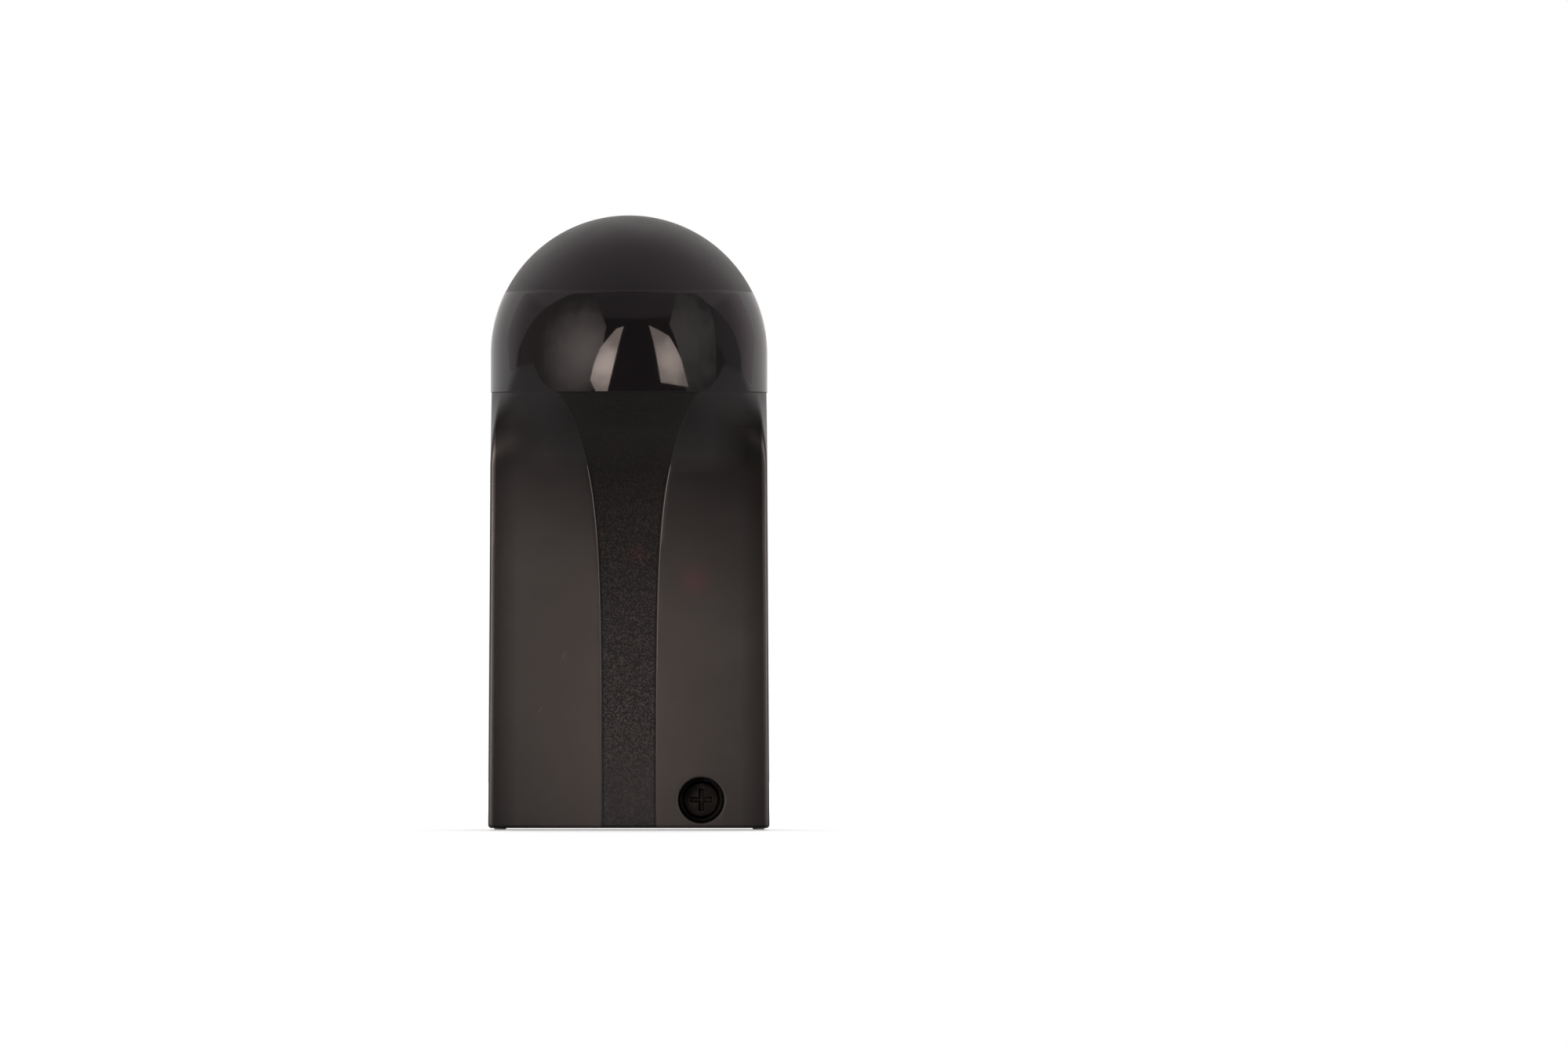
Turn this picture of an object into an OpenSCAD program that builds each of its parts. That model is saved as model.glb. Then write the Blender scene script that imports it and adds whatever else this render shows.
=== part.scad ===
// Wall-mounted gate safety photocell: receiver with a swivelling optic behind a smoked cover.
// Origin: centre of the wall hole pattern, on the wall. +Z is up, and the front faces -Y.
// A depth is a distance in front of the wall, so a point at depth d lies at y = -d.

/* [Case] */
// Width of the case at the dome, twice the dome's radius
case_w = 49.6; // [48:0.2:54]
// Height of the case from its bottom edge to the top of the dome
case_h = 109.8; // [106:0.2:124]
// How much further out each side stands at the bottom edge than at the dome
side_flare = 0.4; // [0.1:0.05:0.8]
// Depth of the dome's centre, where the side walls end and the dome begins
dome_depth = 18.5; // [18:0.1:21]
// Depth of the flat lower front face
face_depth = 27.5; // [26.5:0.1:30]
// Drop of the crease below the polished window, under the dome's centre
window_drop = 6.9; // [6:0.1:8]
// Height over which the front sweeps in from the window to the flat face
sweep_h = 14.1; // [13:0.1:18]
// How far the polished window stands proud of the sweep below it
crease_step = 0.15; // [0.1:0.05:0.3]
// Wall thickness of the cover
cover_wall = 2; // [1.6:0.1:2.2]
// Depth at which the cover's rim ends
rim_depth = 9; // [8.6:0.1:10]
// Chamfer of the two bottom corners, seen from the front
corner_cut = 0.7; // [0.3:0.1:1.2]

/* [Textured band] */
// Half width of the band where it runs straight
band_half_w = 4.64; // [3.5:0.1:6]
// What the band's half width gains by the lower crease
band_flare = 8.06; // [5:0.1:9]
// Height in which that gain falls off to about a third
band_fall = 11.5; // [9:0.5:13]
// Depth of the step at the band's edges
band_step = 0.4; // [0.2:0.05:0.6]

/* [Cover screw] */
// Distance of the screw from the side of the case
screw_edge = 11.86; // [10.8:0.1:12.8]
// Height of the screw above the bottom edge
screw_lift = 5; // [4.9:0.1:6]
// Radius of the well that the screw sits in
well_r = 4.08; // [3.8:0.1:4.3]
// Depth at which the screw's seal sits in the well
well_depth = 15.5; // [15.2:0.1:16.5]
// Thickness of the well's floor
well_floor = 1.8; // [1.4:0.1:1.9]
// Thickness of the well's wall
well_wall = 1.4; // [1:0.1:1.6]
// Radius of the screw's shank
screw_r = 1.7; // [1.5:0.05:1.8]
// Length of the screw's shank
screw_len = 11.5; // [10:0.5:11.5]
// Radius of the screw's head
screw_head_r = 3.3; // [2.9:0.1:3.4]
// Height of the screw's head
screw_head_h = 2.4; // [1.8:0.1:2.8]
// Thickness of the seal under the head
seal_t = 0.8; // [0.6:0.1:1.2]

/* [Base] */
// Thickness of the base's floor
floor_t = 2.5; // [2.2:0.1:2.8]
// Depth of the shoulder that the gasket lies on
shoulder_depth = 8; // [7.6:0.1:8.2]
// How far the base's outline stays behind the cover's
base_inset = 0.15; // [0.1:0.05:0.4]
// Thickness of the rim that reaches into the cover
tongue_t = 1.4; // [1.2:0.1:1.6]
// Depth that this rim reaches
tongue_depth = 12.5; // [11.5:0.1:13]
// Height of the lower wall slot's centre above the bottom edge, and drop of the upper one's below the top
slot_lift = 10.9; // [10.6:0.1:11.9]
// Width of a wall slot
wall_slot_w = 4.4; // [4:0.1:4.8]
// Length of a wall slot, end to end
wall_slot_l = 8; // [7:0.5:8.5]
// Width of the pad round a wall slot
slot_pad_w = 9.4; // [9:0.1:9.8]
// Thickness of that pad above the floor
slot_pad_t = 0.8; // [0.5:0.1:1]
// Width of the two small corner feet below the bottom edge
foot_w = 2.2; // [1.5:0.1:3]
// Drop of the corner feet below the bottom edge
foot_drop = 0.45; // [0.2:0.05:0.8]

/* [Cable entry] */
// How far the cable entry stands outward of the middle between the slot's pad and the base's rim
entry_aside = 0.075; // [-0.4:0.025:0.6]
// Height of the cable entry above the bottom edge
entry_lift = 11.5; // [11:0.1:12]
// Radius of the grommet's bore
entry_r = 2.5; // [2:0.1:3]
// Radius of the grommet's neck in the floor
grommet_neck_r = 4.2; // [3.8:0.1:4.6]
// Radius of the grommet's two flanges
grommet_flange_r = 5.9; // [5.2:0.1:6]
// Depth that the grommet's nose reaches
grommet_nose_depth = 7; // [6:0.1:8]

/* [Swivelling optic] */
// Height of the tilt axis above the dome's centre
tilt_rise = 1; // [0:0.1:1.5]
// Outer radius of the lens barrel
barrel_r = 9.25; // [9.1:0.05:9.3]
// How far the barrel reaches in front of the pan axis
barrel_front = 14.5; // [13.5:0.1:14.5]
// How far the barrel reaches behind the pan axis
barrel_back = 7.5; // [7:0.1:8]
// Wall thickness of the barrel between its two seats
barrel_wall = 1.9; // [1.7:0.1:2]
// Wall thickness of the barrel round the lens and the board
barrel_lip = 0.95; // [0.9:0.05:1]
// Thickness of the lens at its rim
lens_rim = 1.6; // [1.2:0.1:2]
// Radius of the lens's round front
lens_curve_r = 12; // [11.5:0.5:16]
// Radius of the tilt trunnions
trunnion_r = 1.5; // [1.3:0.1:1.7]
// Thickness of the turret's two arms
arm_t = 1.9; // [1.6:0.1:2]
// Width of the turret's two arms
arm_w = 7; // [6:0.1:7.2]
// Thickness of the turret's round floor
turret_floor_t = 1.5; // [1.3:0.1:1.7]
// Outer radius of the hollow pan pivot
pivot_r = 3; // [2.9:0.1:3.2]
// Radius of the bore that the wires take through the pivot
pivot_bore_r = 1.9; // [1.8:0.05:2]
// Thickness of the shelf that carries the pivot
shelf_t = 2.5; // [2.2:0.1:2.6]
// Radius of the shelf's round front end
shelf_r = 6.4; // [6:0.1:6.6]
// Drop of the shelf's top below the dome's centre
shelf_drop = 14.5; // [14.3:0.1:14.6]
// Gap between the shelf's foot and the bosses of the board beside it
foot_side_gap = 1.3; // [0.8:0.1:1.5]
// Thickness of the shelf's foot
foot_t = 1.8; // [1.5:0.1:2]
// Depth at which the foot stands on its bosses
foot_depth = 5.5; // [5:0.1:5.6]

/* [Main board] */
// Gap between the board's long edges and the base's rim
board_side_gap = 0.85; // [0.65:0.05:1.05]
// Gap between the board's upper edge and the shelf that carries the optic
board_top_gap = 1; // [0.6:0.1:2]
// Height of the board's lower edge above the bottom edge
board_lift = 18; // [17.8:0.1:18.2]
// Depth of the board's back
board_depth = 10; // [9.8:0.1:10.4]
// Thickness of the board
board_t = 1.6; // [1.2:0.1:1.8]
// Distance of the board's screws from its edges
board_screw_inset = 3.2; // [3:0.1:3.4]
// Radius of the bosses under the board
board_boss_r = 2.8; // [2.5:0.1:3]
// Shank radius of the small screws
small_screw_r = 1.1; // [1:0.05:1.2]
// Head radius of the small screws
small_head_r = 2.1; // [1.9:0.1:2.2]
// Head height of the small screws
small_head_h = 1.5; // [1.2:0.1:1.6]
// Shank length of the small screws
small_screw_len = 6; // [5.5:0.1:6.5]

/* [Terminal block] */
// Number of ways
ways = 5; // [3:1:5]
// Distance from way to way
way_pitch = 5; // [4.8:0.1:5.1]
// Height of the block in front of the board
block_h = 10; // [9:0.1:10.5]
// Size of the block along the board
block_l = 8.2; // [7.8:0.1:8.6]
// Thickness of the block's walls
block_wall = 0.5; // [0.4:0.05:0.55]
// Width of a wire cage
cage_w = 3.6; // [3.4:0.1:3.7]
// Height of a wire cage
cage_h = 4.4; // [4:0.1:4.6]
// Radius of a terminal screw's head
way_screw_r = 1.8; // [1.6:0.05:1.85]

/* [Board parts] */
// Width, length and height of the relay
relay_size = [10, 20, 11]; // [5:0.5:20]
// Radius of the filter capacitor
capacitor_r = 4; // [3:0.1:4.2]
// Height of the filter capacitor
capacitor_h = 11; // [7:0.5:11.5]
// Radius of the varistor's disc
varistor_r = 3.6; // [3:0.1:3.8]
// Thickness of the varistor's disc
varistor_t = 3; // [2.4:0.1:3.2]
// Radius of a diode's body
diode_r = 1.35; // [1:0.05:1.4]
// Length of a diode's body
diode_l = 5; // [4:0.1:5.2]
// Radius of an indicator lamp
led_r = 1.5; // [1.2:0.1:1.6]
// Height of an indicator lamp up to its round tip
led_h = 3.8; // [3:0.1:5]
// Width, length and height of the regulator
regulator_size = [6.5, 6.1, 2.3]; // [2:0.1:7]
// Width, length and height of the microcontroller
chip_size = [8.65, 3.9, 1.6]; // [1.2:0.05:9]
// Width, length and height of the crystal's can
crystal_size = [11, 4.7, 3.6]; // [3:0.1:11]
// Width, length and height of the wire connector
connector_size = [8, 4.4, 4.4]; // [4:0.1:9]
// Radius of a sensor wire
wire_r = 0.5; // [0.4:0.05:0.52]
// Distance from wire to wire
wire_pitch = 1.15; // [1.1:0.05:1.2]
// Distance from pin to pin on the jumper header
pin_pitch = 2.54; // [2.4:0.01:2.6]
// Width of a header pin
pin_w = 0.64; // [0.5:0.02:0.7]
// Height of the header pins
pin_h = 7; // [6.6:0.1:7.2]
// Width, length and height of the jumper cap
cap_size = [2.4, 4.9, 5]; // [2.3:0.1:5]
// Width, length and height of a chip resistor
resistor_size = [2, 1.25, 0.55]; // [0.4:0.05:2.2]
// Width, length and height of a chip capacitor
ceramic_size = [2, 1.25, 1.1]; // [0.8:0.05:2.2]

/* [Clearances] */
// Gap between the cover's inside and the base's rim
rim_gap = 0.25; // [0.2:0.05:0.35]
// Running gap between a shaft and its bore
run_gap = 0.05; // [0.03:0.01:0.08]
// Seating gap of a small part in its pocket
seat_gap = 0.1; // [0.05:0.05:0.15]
// Gap between moving flat faces
move_gap = 0.25; // [0.2:0.05:0.3]

/* [Hidden] */
$fn = 64;

// Overrun of every cut past the face that it starts from
over = 1;
// Steps down the swept front, from its middle to a corner, round a corner and along the band's edges
sweep_steps = 8;
front_steps = 6;
side_steps = 3;
band_steps = 12;

// The case
dome_r = case_w / 2;
bottom_z = -case_h / 2;
dome_z = case_h / 2 - dome_r;
screw_x = dome_r - screw_edge;
wall_hole_pitch = case_h - 2 * slot_lift;
crease_z = dome_z - window_drop;
sweep_z = crease_z - sweep_h;
face_r = face_depth - dome_depth;
nose_depth = dome_depth + dome_r;

// The base
tongue_inset = cover_wall + rim_gap;
inner_inset = tongue_inset + tongue_t;
boss_top_gap = 0.3;
boss_wall_share = 1.4;
boss_r = screw_r + boss_wall_share * well_wall;
entry_x = (slot_pad_w / 2 + dome_r - inner_inset) / 2 + entry_aside;
pilot_floor = 0.8;
screw_z = bottom_z + screw_lift;
entry_z = bottom_z + entry_lift;
recess_t = 1;
slot_end = (wall_slot_l - wall_slot_w) / 2;
pad_end = slot_end + well_wall / 2;

// The gasket
gasket_edge = 0.5;

// The screws' drives
drive_w = 0.9;
drive_span_share = 0.6;
drive_depth_share = 0.6;
small_drive_w = 0.6;
tip_share = 0.25;

// The optic
pan_depth = dome_depth;
tilt_z = dome_z + tilt_rise;
shelf_z = dome_z - shelf_drop;
turret_edge = 0.3;
arm_x = barrel_r + move_gap + seat_gap;
arm_top_r = arm_w / 2;
turret_top_r = norm([arm_x + arm_t, arm_w / 2]) + turret_edge;
turret_r = turret_top_r - arm_t;
turret_half_l = 8.25;
turret_z = shelf_z + move_gap;
arm_foot_z = turret_z + turret_floor_t;
pivot_lip = 0.6;
pivot_lip_t = 1;
lens_seat_r = barrel_r - barrel_lip;
board_seat_t = 2.5;
disc_board_t = 1.2;
lens_pocket = 3.5;
bracket_screw_drop = 5.6;
bracket_boss_r = 2.6;
foot_l = 9;

// The photodiode
diode_box = [4.4, 5, 1.3];
diode_window_r = 1.3;
diode_window_t = 0.3;

// The board
board_front = board_depth + board_t;
board_z = bottom_z + board_lift;
board_w = 2 * (dome_r - inner_inset - board_side_gap);
board_h = shelf_z - shelf_t - board_top_gap - board_z;
board_x = board_w / 2 - board_screw_inset;
board_corner = 1.5;
foot_half_w = board_x - board_boss_r - foot_side_gap;
bracket_screw_x = foot_half_w - bracket_boss_r;
hole_gap = 0.25;
lead_r = 0.35;
lead_w = 0.4;
lead_t = 0.2;
stand_off = 0.3;
tab_w_share = 0.8;
leg_place_share = 0.33;
chip_cap_share = 0.2;
chip_pins = 7;

// Places on the board, as shares of its half width across from its middle and of its height up from its
// lower edge. The two lamps stand where the photographed unit glows.
block_shares = [0, 0.1];
relay_shares = [-0.66, 0.461];
capacitor_shares = [0.67, 0.31];
varistor_shares = [-0.158, 0.314];
diode_shares = [0.227, 0.253];
regulator_shares = [0.719, 0.682];
chip_shares = [-0.128, 0.767];
crystal_shares = [-0.65, 0.784];
connector_shares = [0, 0.918];
led_shares = [[0.084, 0.635], [0.571, 0.537]];
header_shares = [0.345, 0.776];
resistor_shares = [[-0.276, 0.51], [-0.276, 0.571], [-0.276, 0.633], [-0.118, 0.51], [-0.118, 0.571],
    [0.325, 0.592], [0.325, 0.531], [0.739, 0.865]];
ceramic_shares = [[-0.305, 0.882], [-0.453, 0.882], [0.473, 0.91], [0.759, 0.498], [-0.601, 0.882]];
function board_place(shares) = [shares[0] * board_w / 2, shares[1] * board_h];
block_place = board_place(block_shares);
relay_place = board_place(relay_shares);
capacitor_place = board_place(capacitor_shares);
varistor_place = board_place(varistor_shares);
diode_place = board_place(diode_shares);
diode_spacing = 3.1;
regulator_place = board_place(regulator_shares);
chip_place = board_place(chip_shares);
crystal_place = board_place(crystal_shares);
connector_place = board_place(connector_shares);
led_places = [for (shares = led_shares) board_place(shares)];
header_place = board_place(header_shares);
resistor_places = [for (shares = resistor_shares) board_place(shares)];
ceramic_places = [for (shares = ceramic_shares) board_place(shares)];

// The wires between the round board and the main board
wire_bend_r = 2.5;
wire_top_gap = 0.2;
wire_back = 2.6;

// The terminal block
block_w = ways * way_pitch + block_wall;
cage_wall = 0.7;
cage_l = 5.6;
way_shank_r = 1.1;
way_head_h = 2;
block_floor = 1;

// Extrudes a front-view outline, drawn across and up, from one depth to another.
module at_depth(from, to) {
    translate([0, -from, 0])
        rotate([90, 0, 0])
            linear_extrude(height = to - from)
                children();
}

// A round bar or hole along the depth.
module bar(x, z, r, from, to) {
    translate([x, -from, z])
        rotate([90, 0, 0])
            cylinder(r = r, h = to - from);
}

// A block from one depth to another, centred across and up.
module brick(x, z, w, l, from, to) {
    translate([x - w / 2, -to, z - l / 2])
        cube([w, to - from, l]);
}

// A slot outline that runs up and down.
module slot_outline(w, half_l) {
    square([w, 2 * half_l], center = true);
    for (side = [-1, 1])
        translate([0, side * half_l])
            circle(d = w);
}

// Half width of the case at height z, past the dome's centre.
function half_w(z) = dome_r + side_flare * (sweep_z - z) / (sweep_z - bottom_z);

// Front-view outline of the case, drawn in by an inset.
module case_outline(inset = 0) {
    translate([0, dome_z])
        circle(r = dome_r - inset, $fn = 128);
    polygon([
        [dome_r - inset, dome_z],
        [-dome_r + inset, dome_z],
        [-dome_r + inset, sweep_z],
        [-half_w(bottom_z) + inset, bottom_z + inset + corner_cut],
        [-half_w(bottom_z) + inset + corner_cut, bottom_z + inset],
        [half_w(bottom_z) - inset - corner_cut, bottom_z + inset],
        [half_w(bottom_z) - inset, bottom_z + inset + corner_cut],
        [dome_r - inset, sweep_z]
    ]);
}

// Everything below height z in front view.
module below(z) {
    translate([-case_w, z - 2 * case_h])
        square([2 * case_w, 2 * case_h]);
}

// How much of the dome's round section is left at a share of the sweep's height, counted down from the
// lower crease: it falls steeply at first and ends flush with the flat face.
function round_left(share) = 1 - sin(90 * share);

// Point of the swept front at one angle round the pan axis, as a place across and a depth. Nearer the
// middle than the corner angle it slides from the round nose to the flat face, and past it to the side wall.
function swept_point(angle, left, inset) =
    let (
        r = dome_r - inset,
        corner = acos((face_r - inset) / r),
        round_r = r - crease_step,
        round_point = [round_r * sin(angle), dome_depth + round_r * cos(angle)],
        flat_point = abs(angle) < corner
            ? [r * sin(angle) / sin(corner), face_depth - inset]
            : [sign(angle) * r, dome_depth + r * cos(angle)]
    ) flat_point + left * (round_point - flat_point);

// Angles round the pan axis at which the swept front has its points, from left to right.
function swept_angles(inset) =
    let (corner = acos((face_r - inset) / (dome_r - inset)))
    concat(
        [for (i = [side_steps : -1 : 1]) -corner - (90 - corner) * i / side_steps],
        [for (i = [-front_steps : front_steps]) corner * i / front_steps],
        [for (i = [1 : side_steps]) corner + (90 - corner) * i / side_steps]
    );

// The swept front between the lower crease and the flat face, as a solid in front of the dome's centre.
// Each level is a ring of points that closes over one on the pan axis, where the two caps have their middle.
module swept_front(inset) {
    angles = swept_angles(inset);
    ring = len(angles) + 1;
    points = [
        for (i = [0 : sweep_steps], j = [0 : ring - 1])
            let (
                z = crease_z - sweep_h * i / sweep_steps,
                place = swept_point(angles[min(j, ring - 2)], round_left(i / sweep_steps), inset)
            )
            j < ring - 1 ? [place[0], -place[1], z] : [0, -dome_depth, z]
    ];
    walls = [
        for (i = [0 : sweep_steps - 1], j = [0 : ring - 1], half = [0, 1])
            let (next = (j + 1) % ring)
            half == 0
                ? [i * ring + j, i * ring + next, (i + 1) * ring + next]
                : [i * ring + j, (i + 1) * ring + next, (i + 1) * ring + j]
    ];
    caps = [
        for (j = [0 : ring - 3], low = [0, 1])
            low == 0
                ? [ring - 1, j + 1, j]
                : [for (k = [ring - 1, j, j + 1]) sweep_steps * ring + k]
    ];
    polyhedron(points = points, faces = concat(walls, caps));
}

// The case as a solid, drawn in by an inset and starting at a depth.
module case_solid(inset, back) {
    r = dome_r - inset;
    at_depth(back, dome_depth)
        case_outline(inset);
    intersection() {
        translate([0, -dome_depth, dome_z])
            sphere(r = r, $fn = 128);
        translate([-case_w, -dome_depth - case_w, dome_z])
            cube([2 * case_w, case_w, case_w]);
    }
    intersection() {
        translate([0, -dome_depth, crease_z])
            cylinder(r = r, h = window_drop, $fn = 128);
        translate([-case_w, -dome_depth - case_w, crease_z])
            cube([2 * case_w, case_w, window_drop]);
    }
    swept_front(inset);
    at_depth(dome_depth, face_depth - inset)
        intersection() {
            case_outline(inset);
            below(sweep_z);
        }
}

// Half width of the textured band at height z.
function band_w(z) = band_half_w + band_flare * exp((z - crease_z) / band_fall);

// Heights at which the band's outline has its points, closer together near the crease.
function band_z(i) = crease_z - (crease_z - bottom_z + over) * pow(i / band_steps, 2);

module band_outline() {
    polygon(concat(
        [for (i = [0 : band_steps]) [band_w(band_z(i)), band_z(i)]],
        [for (i = [band_steps : -1 : 0]) [-band_w(band_z(i)), band_z(i)]]
    ));
}

module front_cover() {
    color([0.16, 0.13, 0.13])
        difference() {
            union() {
                difference() {
                    case_solid(0, rim_depth);
                    difference() {
                        at_depth(dome_depth, nose_depth + over)
                            band_outline();
                        case_solid(band_step, rim_depth);
                    }
                    case_solid(cover_wall, rim_depth - over);
                }
                at_depth(well_depth - well_floor, face_depth - cover_wall / 2)
                    intersection() {
                        case_outline(cover_wall / 2);
                        translate([screw_x, screw_z])
                            circle(r = well_r + well_wall);
                    }
            }
            bar(screw_x, screw_z, well_r, well_depth, face_depth + over);
            bar(screw_x, screw_z, screw_r + hole_gap, well_depth - well_floor - over, well_depth + over);
        }
}

// A boss that stands on the base's floor.
module base_boss(x, z, r, top) {
    bar(x, z, r, floor_t / 2, top);
}

module wall_slot(z) {
    at_depth(-over, floor_t + slot_pad_t + over)
        translate([0, z])
            slot_outline(wall_slot_w, slot_end);
}

module rear_base() {
    color([0.72, 0.72, 0.70])
        difference() {
            union() {
                at_depth(0, floor_t)
                    case_outline(base_inset);
                at_depth(0, shoulder_depth)
                    difference() {
                        case_outline(base_inset);
                        case_outline(inner_inset);
                    }
                at_depth(0, tongue_depth)
                    difference() {
                        case_outline(tongue_inset);
                        case_outline(inner_inset);
                    }
                for (side = [-1, 1]) {
                    brick(side * (half_w(bottom_z) - base_inset - corner_cut - foot_w / 2), bottom_z,
                        foot_w, 2 * foot_drop, 0, shoulder_depth);
                    base_boss(side * board_x, board_z + board_screw_inset, board_boss_r, board_depth);
                    base_boss(side * board_x, board_z + board_h - board_screw_inset, board_boss_r,
                        board_depth);
                    base_boss(side * bracket_screw_x, shelf_z - shelf_t - bracket_screw_drop,
                        bracket_boss_r, foot_depth);
                    at_depth(0, floor_t + slot_pad_t)
                        translate([0, side * wall_hole_pitch / 2])
                            slot_outline(slot_pad_w, pad_end);
                }
                at_depth(floor_t / 2, well_depth - well_floor - boss_top_gap)
                    intersection() {
                        translate([screw_x, screw_z])
                            circle(r = boss_r);
                        case_outline(tongue_inset);
                    }
            }
            for (side = [-1, 1]) {
                wall_slot(side * wall_hole_pitch / 2);
                bar(side * board_x, board_z + board_screw_inset, small_screw_r + run_gap,
                    board_front - small_screw_len - pilot_floor, board_depth + over);
                bar(side * board_x, board_z + board_h - board_screw_inset, small_screw_r + run_gap,
                    board_front - small_screw_len - pilot_floor, board_depth + over);
                bar(side * bracket_screw_x, shelf_z - shelf_t - bracket_screw_drop,
                    small_screw_r + run_gap, foot_depth + foot_t - small_screw_len - run_gap,
                    foot_depth + over);
            }
            bar(screw_x, screw_z, screw_r + run_gap, well_depth + seal_t - screw_len - pilot_floor,
                well_depth);
            bar(-entry_x, entry_z, grommet_neck_r + run_gap, -over, floor_t + over);
            bar(-entry_x, entry_z, grommet_flange_r + seat_gap, -over, recess_t);
        }
}

module base_gasket() {
    color([0.07, 0.07, 0.07])
        at_depth(shoulder_depth, rim_depth)
            difference() {
                case_outline(gasket_edge);
                case_outline(tongue_inset);
            }
}

module cover_screw() {
    head_depth = well_depth + seal_t;
    top = head_depth + screw_head_h;
    tip = head_depth - screw_len;
    color([0.30, 0.30, 0.31])
        difference() {
            union() {
                bar(screw_x, screw_z, screw_head_r, head_depth, top);
                bar(screw_x, screw_z, screw_r, tip + screw_r, head_depth);
                translate([screw_x, -tip, screw_z])
                    rotate([90, 0, 0])
                        cylinder(r1 = tip_share * screw_r, r2 = screw_r, h = screw_r);
            }
            for (turn = [0, 90])
                translate([screw_x, -top, screw_z])
                    rotate([0, turn, 0])
                        cube([2 * drive_span_share * screw_head_r,
                            2 * drive_depth_share * screw_head_h, drive_w], center = true);
        }
}

module screw_seal() {
    color([0.10, 0.10, 0.10])
        difference() {
            bar(screw_x, screw_z, screw_head_r, well_depth, well_depth + seal_t);
            bar(screw_x, screw_z, screw_r + run_gap, well_depth - over, well_depth + seal_t + over);
        }
}

module cable_grommet() {
    color([0.09, 0.09, 0.09])
        difference() {
            union() {
                bar(-entry_x, entry_z, grommet_flange_r, seat_gap, recess_t);
                bar(-entry_x, entry_z, grommet_neck_r, seat_gap, floor_t);
                bar(-entry_x, entry_z, grommet_flange_r, floor_t, floor_t + recess_t);
                translate([-entry_x, -floor_t - recess_t, entry_z])
                    rotate([90, 0, 0])
                        cylinder(r1 = grommet_neck_r, r2 = (grommet_neck_r + entry_r) / 2,
                            h = grommet_nose_depth - floor_t - recess_t);
            }
            bar(-entry_x, entry_z, entry_r, -over, grommet_nose_depth + over);
        }
}

module head_bracket() {
    color([0.16, 0.16, 0.17])
        difference() {
            union() {
                translate([-shelf_r, -pan_depth, shelf_z - shelf_t])
                    cube([2 * shelf_r, pan_depth - foot_depth, shelf_t]);
                translate([0, -pan_depth, shelf_z - shelf_t])
                    cylinder(r = shelf_r, h = shelf_t);
                translate([-foot_half_w, -foot_depth - foot_t, shelf_z - shelf_t - foot_l])
                    cube([2 * foot_half_w, foot_t, foot_l + shelf_t]);
            }
            translate([0, -pan_depth, shelf_z - shelf_t - over])
                cylinder(r = pivot_r + run_gap, h = shelf_t + 2 * over);
            for (side = [-1, 1])
                bar(side * bracket_screw_x, shelf_z - shelf_t - bracket_screw_drop,
                    small_screw_r + hole_gap, foot_depth - over, foot_depth + foot_t + over);
        }
}

// A small pan-head screw whose head lies on a face at the given depth.
module small_screw(x, z, seat) {
    difference() {
        union() {
            bar(x, z, small_head_r, seat, seat + small_head_h);
            bar(x, z, small_screw_r, seat - small_screw_len, seat);
        }
        for (turn = [0, 90])
            translate([x, -seat - small_head_h, z])
                rotate([0, turn, 0])
                    cube([2 * drive_span_share * small_head_r, small_head_h, small_drive_w],
                        center = true);
    }
}

module bracket_screws() {
    color([0.62, 0.62, 0.64])
        for (side = [-1, 1])
            small_screw(side * bracket_screw_x, shelf_z - shelf_t - bracket_screw_drop,
                foot_depth + foot_t);
}

module head_turret() {
    pivot_z = shelf_z - shelf_t - seat_gap - pivot_lip_t;
    color([0.14, 0.14, 0.15])
        difference() {
            union() {
                intersection() {
                    translate([0, -pan_depth, turret_z])
                        cylinder(r1 = turret_r, r2 = turret_top_r, h = turret_floor_t);
                    translate([-case_w, -pan_depth - turret_half_l, turret_z - over])
                        cube([2 * case_w, 2 * turret_half_l, turret_floor_t + 2 * over]);
                }
                translate([0, -pan_depth, pivot_z])
                    cylinder(r = pivot_r, h = turret_z - pivot_z);
                translate([0, -pan_depth, pivot_z])
                    cylinder(r1 = pivot_r, r2 = pivot_r + pivot_lip, h = pivot_lip_t);
                for (side = [-1, 1]) {
                    translate([side * (arm_x + arm_t / 2) - arm_t / 2, -pan_depth - arm_w / 2,
                        arm_foot_z])
                        cube([arm_t, arm_w, tilt_z - arm_foot_z]);
                    translate([side * (arm_x + arm_t / 2) - arm_t / 2, -pan_depth, tilt_z])
                        rotate([0, 90, 0])
                            cylinder(r = arm_top_r, h = arm_t);
                }
            }
            translate([0, -pan_depth, pivot_z - over])
                cylinder(r = pivot_bore_r, h = arm_foot_z - pivot_z + 2 * over);
            translate([-arm_x - arm_t - over, -pan_depth, tilt_z])
                rotate([0, 90, 0])
                    cylinder(r = trunnion_r + run_gap, h = 2 * (arm_x + arm_t + over));
        }
}

module lens_barrel() {
    front = pan_depth + barrel_front;
    back = pan_depth - barrel_back;
    color([0.06, 0.06, 0.06])
        difference() {
            union() {
                bar(0, tilt_z, barrel_r, back, front);
                translate([-arm_x - arm_t, -pan_depth, tilt_z])
                    rotate([0, 90, 0])
                        cylinder(r = trunnion_r, h = 2 * (arm_x + arm_t));
            }
            bar(0, tilt_z, barrel_r - barrel_wall, back - over, front + over);
            bar(0, tilt_z, lens_seat_r, front - lens_pocket, front + over);
            bar(0, tilt_z, lens_seat_r, back - over, back + board_seat_t);
        }
}

module receiver_lens() {
    r = lens_seat_r - run_gap;
    seat = pan_depth + barrel_front - lens_pocket;
    sag = lens_curve_r - sqrt(pow(lens_curve_r, 2) - pow(r, 2));
    color([0.75, 0.80, 0.85])
        union() {
            bar(0, tilt_z, r, seat, seat + lens_rim);
            intersection() {
                bar(0, tilt_z, r, seat + lens_rim, seat + lens_rim + sag + over);
                translate([0, -(seat + lens_rim + sag - lens_curve_r), tilt_z])
                    sphere(r = lens_curve_r, $fn = 96);
            }
        }
}

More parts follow.
